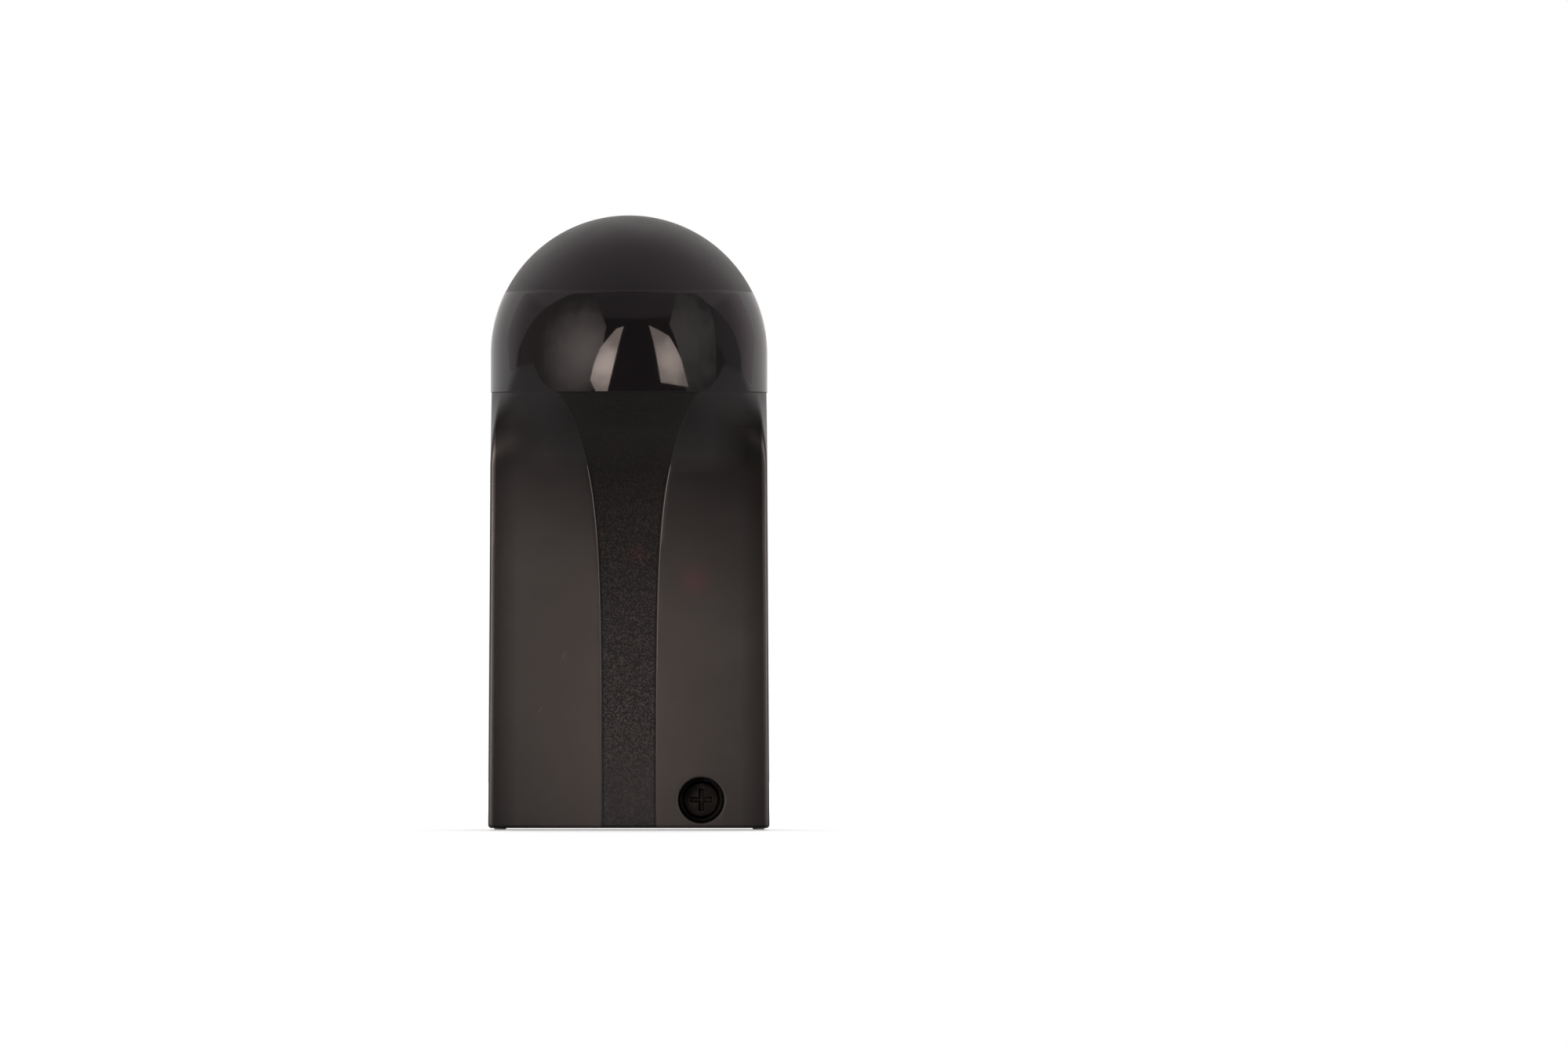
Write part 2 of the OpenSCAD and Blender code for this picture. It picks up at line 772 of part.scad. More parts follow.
module receiver_board() {
    seat = pan_depth - barrel_back + board_seat_t;
    color([0.05, 0.30, 0.16])
        bar(0, tilt_z, lens_seat_r - run_gap, seat - disc_board_t, seat);
}

module photodiode() {
    seat = pan_depth - barrel_back + board_seat_t;
    color([0.08, 0.06, 0.10]) {
        brick(0, tilt_z, diode_box[0], diode_box[1], seat, seat + diode_box[2]);
        bar(0, tilt_z, diode_window_r, seat + diode_box[2], seat + diode_box[2] + diode_window_t);
    }
}

// A quarter bend of wire in an upright plane that runs front to back, centred on its bend's centre.
module wire_bend(x, depth, z, start) {
    translate([x, -depth, z])
        rotate([0, 90, 0])
            rotate([0, 0, start])
                rotate_extrude(angle = 90)
                    translate([wire_bend_r, 0])
                        circle(r = wire_r, $fn = 24);
}

module upright_wire(x, depth, from, to) {
    translate([x, -depth, from])
        cylinder(r = wire_r, h = to - from, $fn = 24);
}

// Places of the three wires across the case.
function wire_x(i) = (i - 1) * wire_pitch;

module sensor_leads_lower() {
    seat = board_front + connector_size[2];
    bend_z = board_z + connector_place[1] + wire_bend_r;
    color([0.70, 0.15, 0.12])
        for (i = [0 : 2]) {
            bar(wire_x(i), board_z + connector_place[1], wire_r, seat, pan_depth - wire_bend_r);
            wire_bend(wire_x(i), pan_depth - wire_bend_r, bend_z, -90);
            upright_wire(wire_x(i), pan_depth, bend_z, shelf_z - shelf_t / 2);
        }
}

module sensor_leads_upper() {
    from = shelf_z - shelf_t / 2 + wire_top_gap;
    rear = pan_depth - barrel_back - wire_back;
    bend_z = arm_foot_z - wire_bend_r / 2;
    top_z = bend_z + 2 * wire_bend_r;
    color([0.70, 0.15, 0.12])
        for (i = [0 : 2]) {
            upright_wire(wire_x(i), pan_depth, from, bend_z);
            wire_bend(wire_x(i), pan_depth - wire_bend_r, bend_z, 180);
            bar(wire_x(i), bend_z + wire_bend_r, wire_r, rear, pan_depth - wire_bend_r);
        }
}

module lead_connector() {
    color([0.86, 0.85, 0.80])
        difference() {
            brick(connector_place[0], board_z + connector_place[1], connector_size[0],
                connector_size[1], board_front, board_front + connector_size[2]);
            for (side = [-1, 1])
                brick(connector_place[0] + side * connector_size[0] / 2,
                    board_z + connector_place[1], 2 * lead_w, connector_size[1] / 2,
                    board_front + connector_size[2] / 2, board_front + connector_size[2] + over);
        }
}

module main_board() {
    color([0.05, 0.32, 0.17])
        difference() {
            at_depth(board_depth, board_front)
                translate([-board_w / 2, board_z])
                    polygon([
                        [board_corner, 0],
                        [board_w - board_corner, 0],
                        [board_w, board_corner],
                        [board_w, board_h - board_corner],
                        [board_w - board_corner, board_h],
                        [board_corner, board_h],
                        [0, board_h - board_corner],
                        [0, board_corner]
                    ]);
            for (side = [-1, 1], z = [board_screw_inset, board_h - board_screw_inset])
                bar(side * board_x, board_z + z, small_screw_r + hole_gap, board_depth - over,
                    board_front + over);
        }
}

module board_screws() {
    color([0.62, 0.62, 0.64])
        for (side = [-1, 1], z = [board_screw_inset, board_h - board_screw_inset])
            small_screw(side * board_x, board_z + z, board_front);
}

// Across place of one way of the terminal block.
function way_x(i) = block_place[0] + (i - (ways - 1) / 2) * way_pitch;

module terminal_block() {
    low_z = board_z + block_place[1] - block_l / 2;
    color([0.10, 0.35, 0.20])
        difference() {
            brick(block_place[0], board_z + block_place[1], block_w, block_l, board_front,
                board_front + block_h);
            for (i = [0 : ways - 1]) {
                translate([way_x(i) - cage_w / 2 - seat_gap, -board_front - block_floor - cage_h - seat_gap,
                    low_z - over])
                    cube([cage_w + 2 * seat_gap, cage_h + seat_gap, cage_l + seat_gap + over]);
                bar(way_x(i), low_z + cage_l / 2, way_screw_r + seat_gap,
                    board_front + block_floor + cage_h - over, board_front + block_h + over);
            }
        }
}

module terminal_cages() {
    low_z = board_z + block_place[1] - block_l / 2;
    floor_depth = board_front + block_floor;
    color([0.75, 0.68, 0.45])
        for (i = [0 : ways - 1])
            difference() {
                translate([way_x(i) - cage_w / 2, -floor_depth - cage_h, low_z + seat_gap])
                    cube([cage_w, cage_h, cage_l - seat_gap]);
                translate([way_x(i) - cage_w / 2 + cage_wall, -floor_depth - cage_h + cage_wall,
                    low_z - over])
                    cube([cage_w - 2 * cage_wall, cage_h - 2 * cage_wall, cage_l + 2 * over]);
                bar(way_x(i), low_z + cage_l / 2, way_shank_r + run_gap,
                    floor_depth + cage_h - 2 * cage_wall, floor_depth + cage_h + over);
            }
}

module terminal_screws() {
    low_z = board_z + block_place[1] - block_l / 2;
    seat = board_front + block_floor + cage_h + seat_gap;
    color([0.66, 0.66, 0.68])
        for (i = [0 : ways - 1])
            difference() {
                union() {
                    bar(way_x(i), low_z + cage_l / 2, way_screw_r, seat, seat + way_head_h);
                    bar(way_x(i), low_z + cage_l / 2, way_shank_r, seat - 2 * cage_wall, seat);
                }
                brick(way_x(i), low_z + cage_l / 2, 2 * way_screw_r + over, small_drive_w,
                    seat + way_head_h / 2, seat + way_head_h + over);
            }
}

module relay() {
    x = relay_place[0];
    z = board_z + relay_place[1];
    color([0.10, 0.22, 0.45]) {
        brick(x, z, relay_size[0], relay_size[1], board_front, board_front + relay_size[2] - stand_off);
        brick(x, z, relay_size[0] - 2 * stand_off, relay_size[1] - 2 * stand_off,
            board_front + relay_size[2] - stand_off, board_front + relay_size[2]);
    }
}

module filter_capacitor() {
    x = capacitor_place[0];
    z = board_z + capacitor_place[1];
    top = board_front + capacitor_h;
    neck = board_front + 2 * stand_off;
    color([0.12, 0.14, 0.30])
        difference() {
            union() {
                bar(x, z, capacitor_r, board_front, neck);
                bar(x, z, capacitor_r - stand_off, neck, neck + stand_off);
                bar(x, z, capacitor_r, neck + stand_off, top);
            }
            for (turn = [0, 90])
                translate([x, -top, z])
                    rotate([0, turn, 0])
                        cube([capacitor_r, stand_off, stand_off], center = true);
        }
}

module varistor() {
    x = varistor_place[0];
    z = board_z + varistor_place[1];
    centre = board_front + varistor_r + stand_off;
    color([0.15, 0.35, 0.62]) {
        translate([x - varistor_t / 2, -centre, z])
            rotate([0, 90, 0])
                cylinder(r = varistor_r, h = varistor_t);
        for (side = [-1, 1])
            bar(x, z + side * varistor_r / 2, lead_r, board_front, centre);
    }
}

module rectifier_diodes() {
    centre = board_front + diode_r + stand_off;
    color([0.12, 0.12, 0.13])
        for (i = [0 : 3])
            translate([diode_place[0], 0, board_z + diode_place[1] + i * diode_spacing]) {
                translate([-diode_l / 2, -centre, 0])
                    rotate([0, 90, 0])
                        cylinder(r = diode_r, h = diode_l);
                translate([-diode_l / 2 - 2 * lead_w, -centre, 0])
                    rotate([0, 90, 0])
                        cylinder(r = lead_r, h = diode_l + 4 * lead_w);
                for (side = [-1, 1])
                    brick(side * (diode_l / 2 + lead_w), 0, lead_w, lead_w, board_front, centre);
            }
}

module voltage_regulator() {
    x = regulator_place[0];
    z = board_z + regulator_place[1];
    w = regulator_size[0];
    l = regulator_size[1];
    color([0.10, 0.10, 0.11]) {
        brick(x, z, w, l, board_front, board_front + regulator_size[2]);
        brick(x, z + l / 2, tab_w_share * w, 3 * lead_w, board_front, board_front + 2 * lead_t);
        for (side = [-1, 1])
            brick(x + side * leg_place_share * w, z - l / 2, 2 * lead_w, 4 * lead_w, board_front,
                board_front + 2 * lead_t);
    }
}

module microcontroller() {
    x = chip_place[0];
    z = board_z + chip_place[1];
    color([0.09, 0.09, 0.10]) {
        brick(x, z, chip_size[0], chip_size[1], board_front + lead_t / 2, board_front + chip_size[2]);
        for (i = [0 : chip_pins - 1], side = [-1, 1])
            brick(x + (i - (chip_pins - 1) / 2) * pin_pitch / 2, z + side * (chip_size[1] / 2 + lead_w),
                lead_w, 3 * lead_w, board_front, board_front + 2 * lead_t);
    }
}

module quartz_crystal() {
    w = crystal_size[0];
    l = crystal_size[1];
    color([0.78, 0.78, 0.80])
        translate([crystal_place[0], 0, board_z + crystal_place[1]]) {
            at_depth(board_front, board_front + lead_w)
                rotate(90)
                    slot_outline(l, (w - l) / 2);
            at_depth(board_front + lead_w, board_front + crystal_size[2])
                rotate(90)
                    slot_outline(l - lead_w, (w - l) / 2);
        }
}

module alignment_leds() {
    color([0.85, 0.08, 0.06])
        for (place = led_places)
            union() {
                bar(place[0], board_z + place[1], led_r + stand_off, board_front,
                    board_front + 2 * stand_off);
                bar(place[0], board_z + place[1], led_r, board_front, board_front + led_h);
                translate([place[0], -board_front - led_h, board_z + place[1]])
                    sphere(r = led_r, $fn = 48);
            }
}

// Pins of the jumper header, from the lowest up.
function pin_z(i) = board_z + header_place[1] + (i - 1) * pin_pitch;

module jumper_header() {
    color([0.12, 0.12, 0.13]) {
        brick(header_place[0], pin_z(1), pin_pitch, 3 * pin_pitch, board_front, board_front + pin_pitch);
        for (i = [0 : 2])
            brick(header_place[0], pin_z(i), pin_w, pin_w, board_front + pin_w, board_front + pin_h);
    }
}

module jumper_cap() {
    low = board_front + pin_pitch + seat_gap;
    color([0.75, 0.12, 0.10])
        difference() {
            brick(header_place[0], pin_z(0.5), cap_size[0], cap_size[1], low, low + cap_size[2]);
            for (i = [0, 1])
                brick(header_place[0], pin_z(i), pin_w + 2 * seat_gap, pin_w + 2 * seat_gap,
                    low - over, board_front + pin_h + move_gap);
        }
}

// Small chips with their end caps, lying on the board.
module chips(places, size) {
    cap_w = chip_cap_share * size[0];
    for (place = places) {
        brick(place[0], board_z + place[1], size[0] - 2 * cap_w, size[1] - lead_t / 2, board_front,
            board_front + size[2]);
        for (side = [-1, 1])
            brick(place[0] + side * (size[0] - cap_w) / 2, board_z + place[1], cap_w, size[1],
                board_front, board_front + size[2]);
    }
}

module chip_resistors() {
    color([0.15, 0.15, 0.16])
        chips(resistor_places, resistor_size);
}

module chip_capacitors() {
    color([0.62, 0.50, 0.36])
        chips(ceramic_places, ceramic_size);
}

rear_base();
base_gasket();
front_cover();
cover_screw();
screw_seal();
cable_grommet();
head_bracket();
bracket_screws();
head_turret();
lens_barrel();
receiver_lens();
receiver_board();
photodiode();
sensor_leads_upper();
sensor_leads_lower();
lead_connector();
main_board();
board_screws();
terminal_block();
terminal_screws();
terminal_cages();
relay();
filter_capacitor();
varistor();
rectifier_diodes();
voltage_regulator();
microcontroller();
quartz_crystal();
alignment_leds();
jumper_header();
jumper_cap();
chip_resistors();
chip_capacitors();
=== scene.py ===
"""Dresses the gate photocell for its picture.

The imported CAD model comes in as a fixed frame. Fine surfaces stand for its nodes and ride on the same bodies,
and lamps, ground and camera stand where the photograph had them. Lengths in this file are millimetres, and
they turn into metres when a mesh is made. A depth is a distance in front of the wall, so a point at depth d
has y = -d.
"""

import sys

import logging
import math
from dataclasses import dataclass, field
from enum import Enum
from functools import cached_property, reduce

import bmesh
import bpy
import numpy as np
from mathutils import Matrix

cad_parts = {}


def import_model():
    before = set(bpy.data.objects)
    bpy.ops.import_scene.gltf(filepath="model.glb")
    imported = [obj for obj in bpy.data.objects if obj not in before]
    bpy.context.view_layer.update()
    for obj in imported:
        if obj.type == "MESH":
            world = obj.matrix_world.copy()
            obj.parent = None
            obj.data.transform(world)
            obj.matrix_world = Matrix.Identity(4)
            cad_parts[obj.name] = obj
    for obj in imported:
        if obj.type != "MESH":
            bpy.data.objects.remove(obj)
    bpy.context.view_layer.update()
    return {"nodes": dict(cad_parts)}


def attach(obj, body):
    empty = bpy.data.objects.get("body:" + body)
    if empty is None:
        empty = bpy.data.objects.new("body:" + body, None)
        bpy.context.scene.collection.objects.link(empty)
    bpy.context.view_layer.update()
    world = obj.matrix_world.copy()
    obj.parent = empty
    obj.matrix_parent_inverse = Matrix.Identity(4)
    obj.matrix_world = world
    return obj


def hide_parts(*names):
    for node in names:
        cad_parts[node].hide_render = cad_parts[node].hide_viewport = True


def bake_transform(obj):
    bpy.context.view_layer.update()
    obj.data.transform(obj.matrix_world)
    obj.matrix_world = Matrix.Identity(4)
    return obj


LOG = logging.getLogger("photocell")
MM = 0.001
Array = np.ndarray
Profile = list[tuple[float, float]]
Place = tuple[float, float, float]
Socket = bpy.types.NodeSocket
Material = bpy.types.Material
Piece = bpy.types.Object


# Shapes worked out on grids


@dataclass
class Surface:
    """A mesh in the making: its points, its faces and the finish number of each face."""

    points: Array
    faces: list[tuple[int, ...]]
    finishes: list[int] = field(default_factory=list)

    def painted(self, finish: int) -> "Surface":
        """Gives every face one finish number and returns the same surface."""
        self.finishes = [finish] * len(self.faces)
        return self

    def moved(self, dx: float = 0.0, dy: float = 0.0, dz: float = 0.0) -> "Surface":
        """Shifts the points and returns the same surface."""
        self.points = self.points + np.array([dx, dy, dz])
        return self

    def copied(self, places: list[Place]) -> "Surface":
        """Copies of the surface, each shifted by a place, as one."""
        return joined([Surface(self.points + np.array(p), self.faces, self.finishes) for p in places])


def joined(parts: list[Surface]) -> Surface:
    """Puts several surfaces into one, each with its own point numbers shifted past those before it.

    Args:
        parts: The surfaces.

    Returns:
        The one surface.
    """
    faces, finishes, start = [], [], 0
    for part in parts:
        faces += [tuple(n + start for n in face) for face in part.faces]
        finishes += part.finishes or [0] * len(part.faces)
        start += len(part.points)
    return Surface(np.concatenate([part.points for part in parts]), faces, finishes)


def quads(rows: int, cols: int, wrap: bool = False) -> list[tuple[int, ...]]:
    """Faces of a grid of points.

    Face (i, j) joins points (i, j), (i, j+1), (i+1, j+1) and (i+1, j), with the last column joined to the
    first when the grid wraps.

    Args:
        rows: Number of rows of points.
        cols: Number of columns of points.
        wrap: Whether the columns close into a ring.

    Returns:
        The four point numbers of each face.
    """
    i = np.arange(rows - 1)[:, None]
    j = np.arange(cols if wrap else cols - 1)[None, :]
    k = (j + 1) % cols
    f = np.stack([i * cols + j, i * cols + k, (i + 1) * cols + k, (i + 1) * cols + j], axis=-1)
    return [tuple(q) for q in f.reshape(-1, 4).tolist()]


def capped(rows: int, cols: int) -> list[tuple[int, ...]]:
    """Faces of a grid that wraps, with its first and last ring closed by a face each."""
    ends = [tuple(range(cols - 1, -1, -1)), tuple((rows - 1) * cols + k for k in range(cols))]
    return quads(rows, cols, wrap=True) + ends


class Axis(Enum):
    """Direction that a turned or stacked shape's height runs in."""

    FRONT = "front"
    UP = "up"
    ACROSS = "across"


def placed(across: Array, other: Array, height: Array, axis: Axis) -> Array:
    """Lays a shape's own three coordinates along an axis of the row frame.

    FRONT puts height along -Y, UP along +Z and ACROSS along +X, each with the other two so ordered that a
    right-handed shape stays right-handed.

    Args:
        across: First coordinate across the axis.
        other: Second coordinate across the axis.
        height: Coordinate along the axis.
        axis: Where the axis points.

    Returns:
        An array of points, one row each.
    """
    columns = {Axis.FRONT: [across, -height, other], Axis.UP: [across, other, height],
               Axis.ACROSS: [height, across, other]}[axis]
    return np.stack(columns, axis=-1).reshape(-1, 3)


def turned(profile: Profile, axis: Axis = Axis.FRONT, sides: int = 64, base: float = 0.0) -> Surface:
    """A closed shape of revolution about an axis through the origin.

    Point (i, j) stands at radius r(i) and height h(i) of the profile, turned by j/sides of a full turn. A
    profile that starts and ends on the axis closes in a pole, and one that comes back to its first point
    closes as a ring.

    Args:
        profile: Radius and height of each profile point, in order.
        axis: Where the height points.
        sides: Number of steps round.
        base: Height that the profile's heights are counted from.

    Returns:
        The surface.
    """
    p = np.array(profile, float)
    a = np.linspace(0, 2 * math.pi, sides, endpoint=False)
    r, h = p[:, 0:1], base + p[:, 1:2]
    return Surface(placed(r * np.cos(a), r * np.sin(a), h + 0 * a, axis), quads(len(p), sides, wrap=True))


def arc(cx: float, cy: float, r: float, start: float, end: float, steps: int = 6) -> Profile:
    """Points of an arc: centre plus r times the cosine and sine of evenly spaced angles in degrees."""
    t = np.radians(np.linspace(start, end, steps + 1))
    return list(zip((cx + r * np.cos(t)).tolist(), (cy + r * np.sin(t)).tolist()))


def rounded_block(size: Place, radius: float, steps: int = 3) -> Surface:
    """A block with round edges and corners, centred on the origin.

    Each point is the nearest corner of an inner box, which is the block less the radius on every side, plus
    the radius along a unit direction. The directions go round in four quarters and from the lowest to the
    highest, with a quarter's ends repeated where the flat faces lie.

    Args:
        size: Full size along X, Y and Z.
        radius: Radius of the edges.
        steps: Steps in each quarter turn.

    Returns:
        The closed surface.
    """
    quarter = np.linspace(0, math.pi / 2, steps + 1)
    turn = np.concatenate([quarter + k * math.pi / 2 for k in range(4)])
    rise = np.concatenate([quarter - math.pi / 2, quarter])
    sx = np.repeat([1, -1, -1, 1], steps + 1)
    sy = np.repeat([1, 1, -1, -1], steps + 1)
    sz = np.repeat([-1, 1], steps + 1)[:, None]
    half = np.array(size) / 2 - radius
    x = sx * half[0] + radius * np.cos(rise)[:, None] * np.cos(turn)
    y = sy * half[1] + radius * np.cos(rise)[:, None] * np.sin(turn)
    z = sz * half[2] + radius * np.sin(rise)[:, None] + 0 * turn
    corners = [k * (steps + 1) for k in range(4)]
    top = (len(rise) - 1) * len(turn)
    faces = quads(len(rise), len(turn), wrap=True)
    faces += [tuple(reversed(corners)), tuple(top + c for c in corners)]
    return Surface(np.stack([x, y, z], axis=-1).reshape(-1, 3), faces)


def blocks(size: Place, radius: float, places: list[Place], steps: int = 3) -> Surface:
    """Equal rounded blocks at several places."""
    return rounded_block(size, radius, steps).copied(places)


def swept_tube(path: Array, radius: float, sides: int, aside: Place = (1.0, 0.0, 0.0)) -> Surface:
    """A round tube along a path, with flat ends.

    At every path point a circle of the radius stands square to the path. Its two axes are the part of the
    given direction that is square to the path, and the cross product of the path with that.

    Args:
        path: Points along the middle of the tube.
        radius: Radius of the tube.
        sides: Steps round it.
        aside: A direction that the path never runs in.

    Returns:
        The closed surface.
    """
    along = np.gradient(path, axis=0)
    along /= np.linalg.norm(along, axis=1, keepdims=True)
    side = np.array(aside) - along * (along @ np.array(aside))[:, None]
    side /= np.linalg.norm(side, axis=1, keepdims=True)
    a = np.linspace(0, 2 * math.pi, sides, endpoint=False)
    other = np.cross(along, side)
    ring = np.cos(a)[None, :, None] * side[:, None] + np.sin(a)[None, :, None] * other[:, None]
    return Surface((path[:, None] + radius * ring).reshape(-1, 3), capped(len(path), sides))


def smooth_path(knots: list[Place], steps: int) -> Array:
    """A smooth line through knots.

    Between two knots the point is the cubic that leaves each knot parallel to the line between its two
    neighbours, worked out for all the steps at once.

    Args:
        knots: Points that the line goes through.
        steps: Steps between two knots.

    Returns:
        The points of the line.
    """
    p = np.array(knots, float)
    slope = np.gradient(p, axis=0)
    t = np.linspace(0, 1, steps, endpoint=False)[None, :, None]
    a, b, m, n = p[:-1, None], p[1:, None], slope[:-1, None], slope[1:, None]
    line = (
        (2 * t**3 - 3 * t**2 + 1) * a + (t**3 - 2 * t**2 + t) * m
        + (3 * t**2 - 2 * t**3) * b + (t**3 - t**2) * n
    )
    return np.concatenate([line.reshape(-1, 3), p[-1:]])


# Outlines and stacks of them


def corner_outline(corners: Profile, radius: float, steps: int = 5) -> Array:
    """An outline with round corners.

    At each corner the arc's centre lies inward along the bisector, and the arc runs from the normal of the
    edge before to the normal of the edge after. The corners are given counter-clockwise and are convex.

    Args:
        corners: The sharp corners.
        radius: Radius of the arcs.
        steps: Steps in each arc.

    Returns:
        The outline's points.
    """
    p = np.array(corners, float)
    before, after = p - np.roll(p, 1, axis=0), np.roll(p, -1, axis=0) - p
    out_a = np.stack([before[:, 1], -before[:, 0]], axis=-1) / np.linalg.norm(before, axis=1, keepdims=True)
    out_b = np.stack([after[:, 1], -after[:, 0]], axis=-1) / np.linalg.norm(after, axis=1, keepdims=True)
    middle = out_a + out_b
    centre = p - radius * 2 * middle / (middle**2).sum(axis=1, keepdims=True)
    a0 = np.arctan2(out_a[:, 1], out_a[:, 0])
    turn = (np.arctan2(out_b[:, 1], out_b[:, 0]) - a0) % (2 * math.pi)
    a = a0[:, None] + turn[:, None] * np.linspace(0, 1, steps + 1)
    return (centre[:, None] + radius * np.stack([np.cos(a), np.sin(a)], axis=-1)).reshape(-1, 2)


def box_outline(width: float, height: float, radius: float, steps: int = 5) -> Array:
    """A rectangle with round corners, centred on the origin."""
    w, h = width / 2, height / 2
    return corner_outline([(-w, -h), (w, -h), (w, h), (-w, h)], radius, steps)


def layers(flat: Array, height: Array, axis: Axis = Axis.FRONT) -> Surface:
    """A closed solid of levels, each with an outline of its own.

    Args:
        flat: The outlines, one row of points per level.
        height: Height of each level.
        axis: Where the height points.

    Returns:
        The surface, with flat ends.
    """
    high = np.broadcast_to(height[:, None], flat.shape[:2])
    return Surface(placed(flat[..., 0], flat[..., 1], high, axis), capped(*flat.shape[:2]))


def stack(outline: Array, profile: Profile, axis: Axis = Axis.FRONT, base: float = 0.0) -> Surface:
    """A closed solid of levels of one outline.

    Level i holds the outline drawn in by the profile's inset and lies at the profile's height. A point is
    drawn in along the mean of its two edges' normals, made longer so that both edges move by the inset.

    Args:
        outline: Outline, counter-clockwise.
        profile: Inset and height of each level, from the lowest up.
        axis: Where the height points.
        base: Height that the profile's heights are counted from.

    Returns:
        The surface, with flat ends.
    """
    edge = np.roll(outline, -1, axis=0) - outline
    out = np.stack([edge[:, 1], -edge[:, 0]], axis=-1) / np.linalg.norm(edge, axis=1, keepdims=True)
    both = out + np.roll(out, 1, axis=0)
    move = 2 * both / (both**2).sum(axis=1, keepdims=True)
    inset, height = np.array(profile, float).T
    return layers(outline[None] - inset[:, None, None] * move[None], base + height, axis)


def soft_profile(low: float, high: float, radius: float, steps: int = 3) -> Profile:
    """Levels of a stack whose two rims are rounded by quarter circles.

    Args:
        low: Height of the lower face.
        high: Height of the upper face.
        radius: Radius of the rims.
        steps: Steps in each quarter circle.

    Returns:
        Inset and height of each level.
    """
    t = np.linspace(0, math.pi / 2, steps + 1)
    rise = [(radius * (1 - math.sin(a)), low + radius * (1 - math.cos(a))) for a in t]
    return rise + [(i, high + low - h) for i, h in reversed(rise)]


def threaded_screw(shank_r: float, pitch: float, tip: float, seat: float, head: Profile,
                   sides: int) -> Surface:
    """A screw with a true thread, its head in front.

    On the shank the radius at height h and angle a falls short of the shank's radius by a triangle wave of
    h / pitch - a / turn, so that the ridge climbs by one pitch a turn. It fades in over the tip's cone.

    Args:
        shank_r: Outer radius of the thread.
        pitch: Rise of the thread per turn.
        tip: Height of the tip.
        seat: Height at which the head begins.
        head: Radius and height of the head's profile, from its underside to its middle.
        sides: Steps round.

    Returns:
        The surface, with its axis through the origin and its height along FRONT.
    """
    a = np.linspace(0, 2 * math.pi, sides, endpoint=False)
    neck = seat - 0.3 * pitch
    h = np.arange(tip, neck, pitch / 8)[:, None]
    wave = np.abs((h / pitch - a / (2 * math.pi)) % 1 - 0.5) * 2
    cone = np.clip(0.35 + 0.65 * (h - tip) / shank_r, 0, 1)
    fade = np.clip((neck - h) / pitch, 0, 1)
    r = shank_r * cone - 0.55 * pitch * (1 - wave) * cone * fade
    rest = np.array([(shank_r, neck), (shank_r, seat), *head])
    r = np.concatenate([np.zeros((1, sides)), r, np.broadcast_to(rest[:, 0:1], (len(rest), sides))])
    h = np.concatenate([[[tip]], h, rest[:, 1:2]])
    points = placed(r * np.cos(a), r * np.sin(a), h + 0 * a, Axis.FRONT)
    return Surface(points, quads(len(h), sides, wrap=True))


def cross_recess(span: float, width: float, top: float, depth: float) -> Surface:
    """A cross-shaped cutter that narrows downwards, for a screw's drive: twelve corners, three levels.

    Args:
        span: Length of the cross's arms, end to end.
        width: Width of the arms.
        top: Height of the face that it goes into.
        depth: Its depth.

    Returns:
        The cutter.
    """
    s, w = span / 2, width / 2
    corners = [(w, -s), (w, -w), (s, -w), (s, w), (w, w), (w, s),
               (-w, s), (-w, w), (-s, w), (-s, -w), (-w, -w), (-w, -s)]
    return stack(np.array(corners), [(0.45 * w, top - depth), (0.0, top), (0.0, top + 1)])


# Pieces and cuts


def make_piece(name: str, surface: Surface, materials: list[Material], crease: float = 35.0) -> Piece:
    """Turns a surface into a finished object.

    The points become metres, those that lie together merge, faces without area go, and the faces turn
    outwards. Edges sharper than the crease angle stay crisp.

    Args:
        name: Name of the object.
        surface: What to make, in millimetres.
        materials: The finishes, in the order of the surface's finish numbers.
        crease: Angle in degrees past which an edge is crisp.

    Returns:
        The object, at the origin.
    """
    weld = 0.002 * MM
    mesh = bpy.data.meshes.new(name)
    mesh.from_pydata((surface.points * MM).tolist(), [], surface.faces)
    for material in materials:
        mesh.materials.append(material)
    if surface.finishes:
        mesh.polygons.foreach_set("material_index", np.array(surface.finishes, np.int32))
    bm = bmesh.new()
    bm.from_mesh(mesh)
    bmesh.ops.remove_doubles(bm, verts=bm.verts, dist=weld)
    bmesh.ops.dissolve_degenerate(bm, edges=bm.edges, dist=weld * 0.1)
    bmesh.ops.recalc_face_normals(bm, faces=bm.faces)
    bm.to_mesh(mesh)
    bm.free()
    shade_smooth(mesh, crease)
    piece = bpy.data.objects.new(name, mesh)
    bpy.context.scene.collection.objects.link(piece)
    return piece


def shade_smooth(mesh: bpy.types.Mesh, crease: float) -> None:
    """Shades all faces smooth, with crisp edges where they meet at more than an angle in degrees.

    Args:
        mesh: The mesh.
        crease: The angle.
    """
    mesh.polygons.foreach_set("use_smooth", np.ones(len(mesh.polygons), bool))
    mesh.set_sharp_from_angle(angle=math.radians(crease))
    mesh.update()


class Change(Enum):
    """What a solid does to the body that it meets."""

    ADD = "UNION"
    TAKE = "DIFFERENCE"


def reshape(piece: Piece, change: Change, tool: Surface, materials: list[Material]) -> None:
    """Adds a solid to an object or takes it away.

    Args:
        piece: The object.
        change: What the solid does.
        tool: The solid, in millimetres.
        materials: The finishes that the object has.
    """
    helper = make_piece("tool", tool, materials)
    step = piece.modifiers.new("step", "BOOLEAN")
    step.operation, step.object, step.solver = change.value, helper, "EXACT"
    bpy.context.view_layer.update()
    fresh = bpy.data.meshes.new_from_object(piece.evaluated_get(bpy.context.evaluated_depsgraph_get()))
    piece.modifiers.clear()
    piece.data = fresh
    bpy.data.objects.remove(helper)


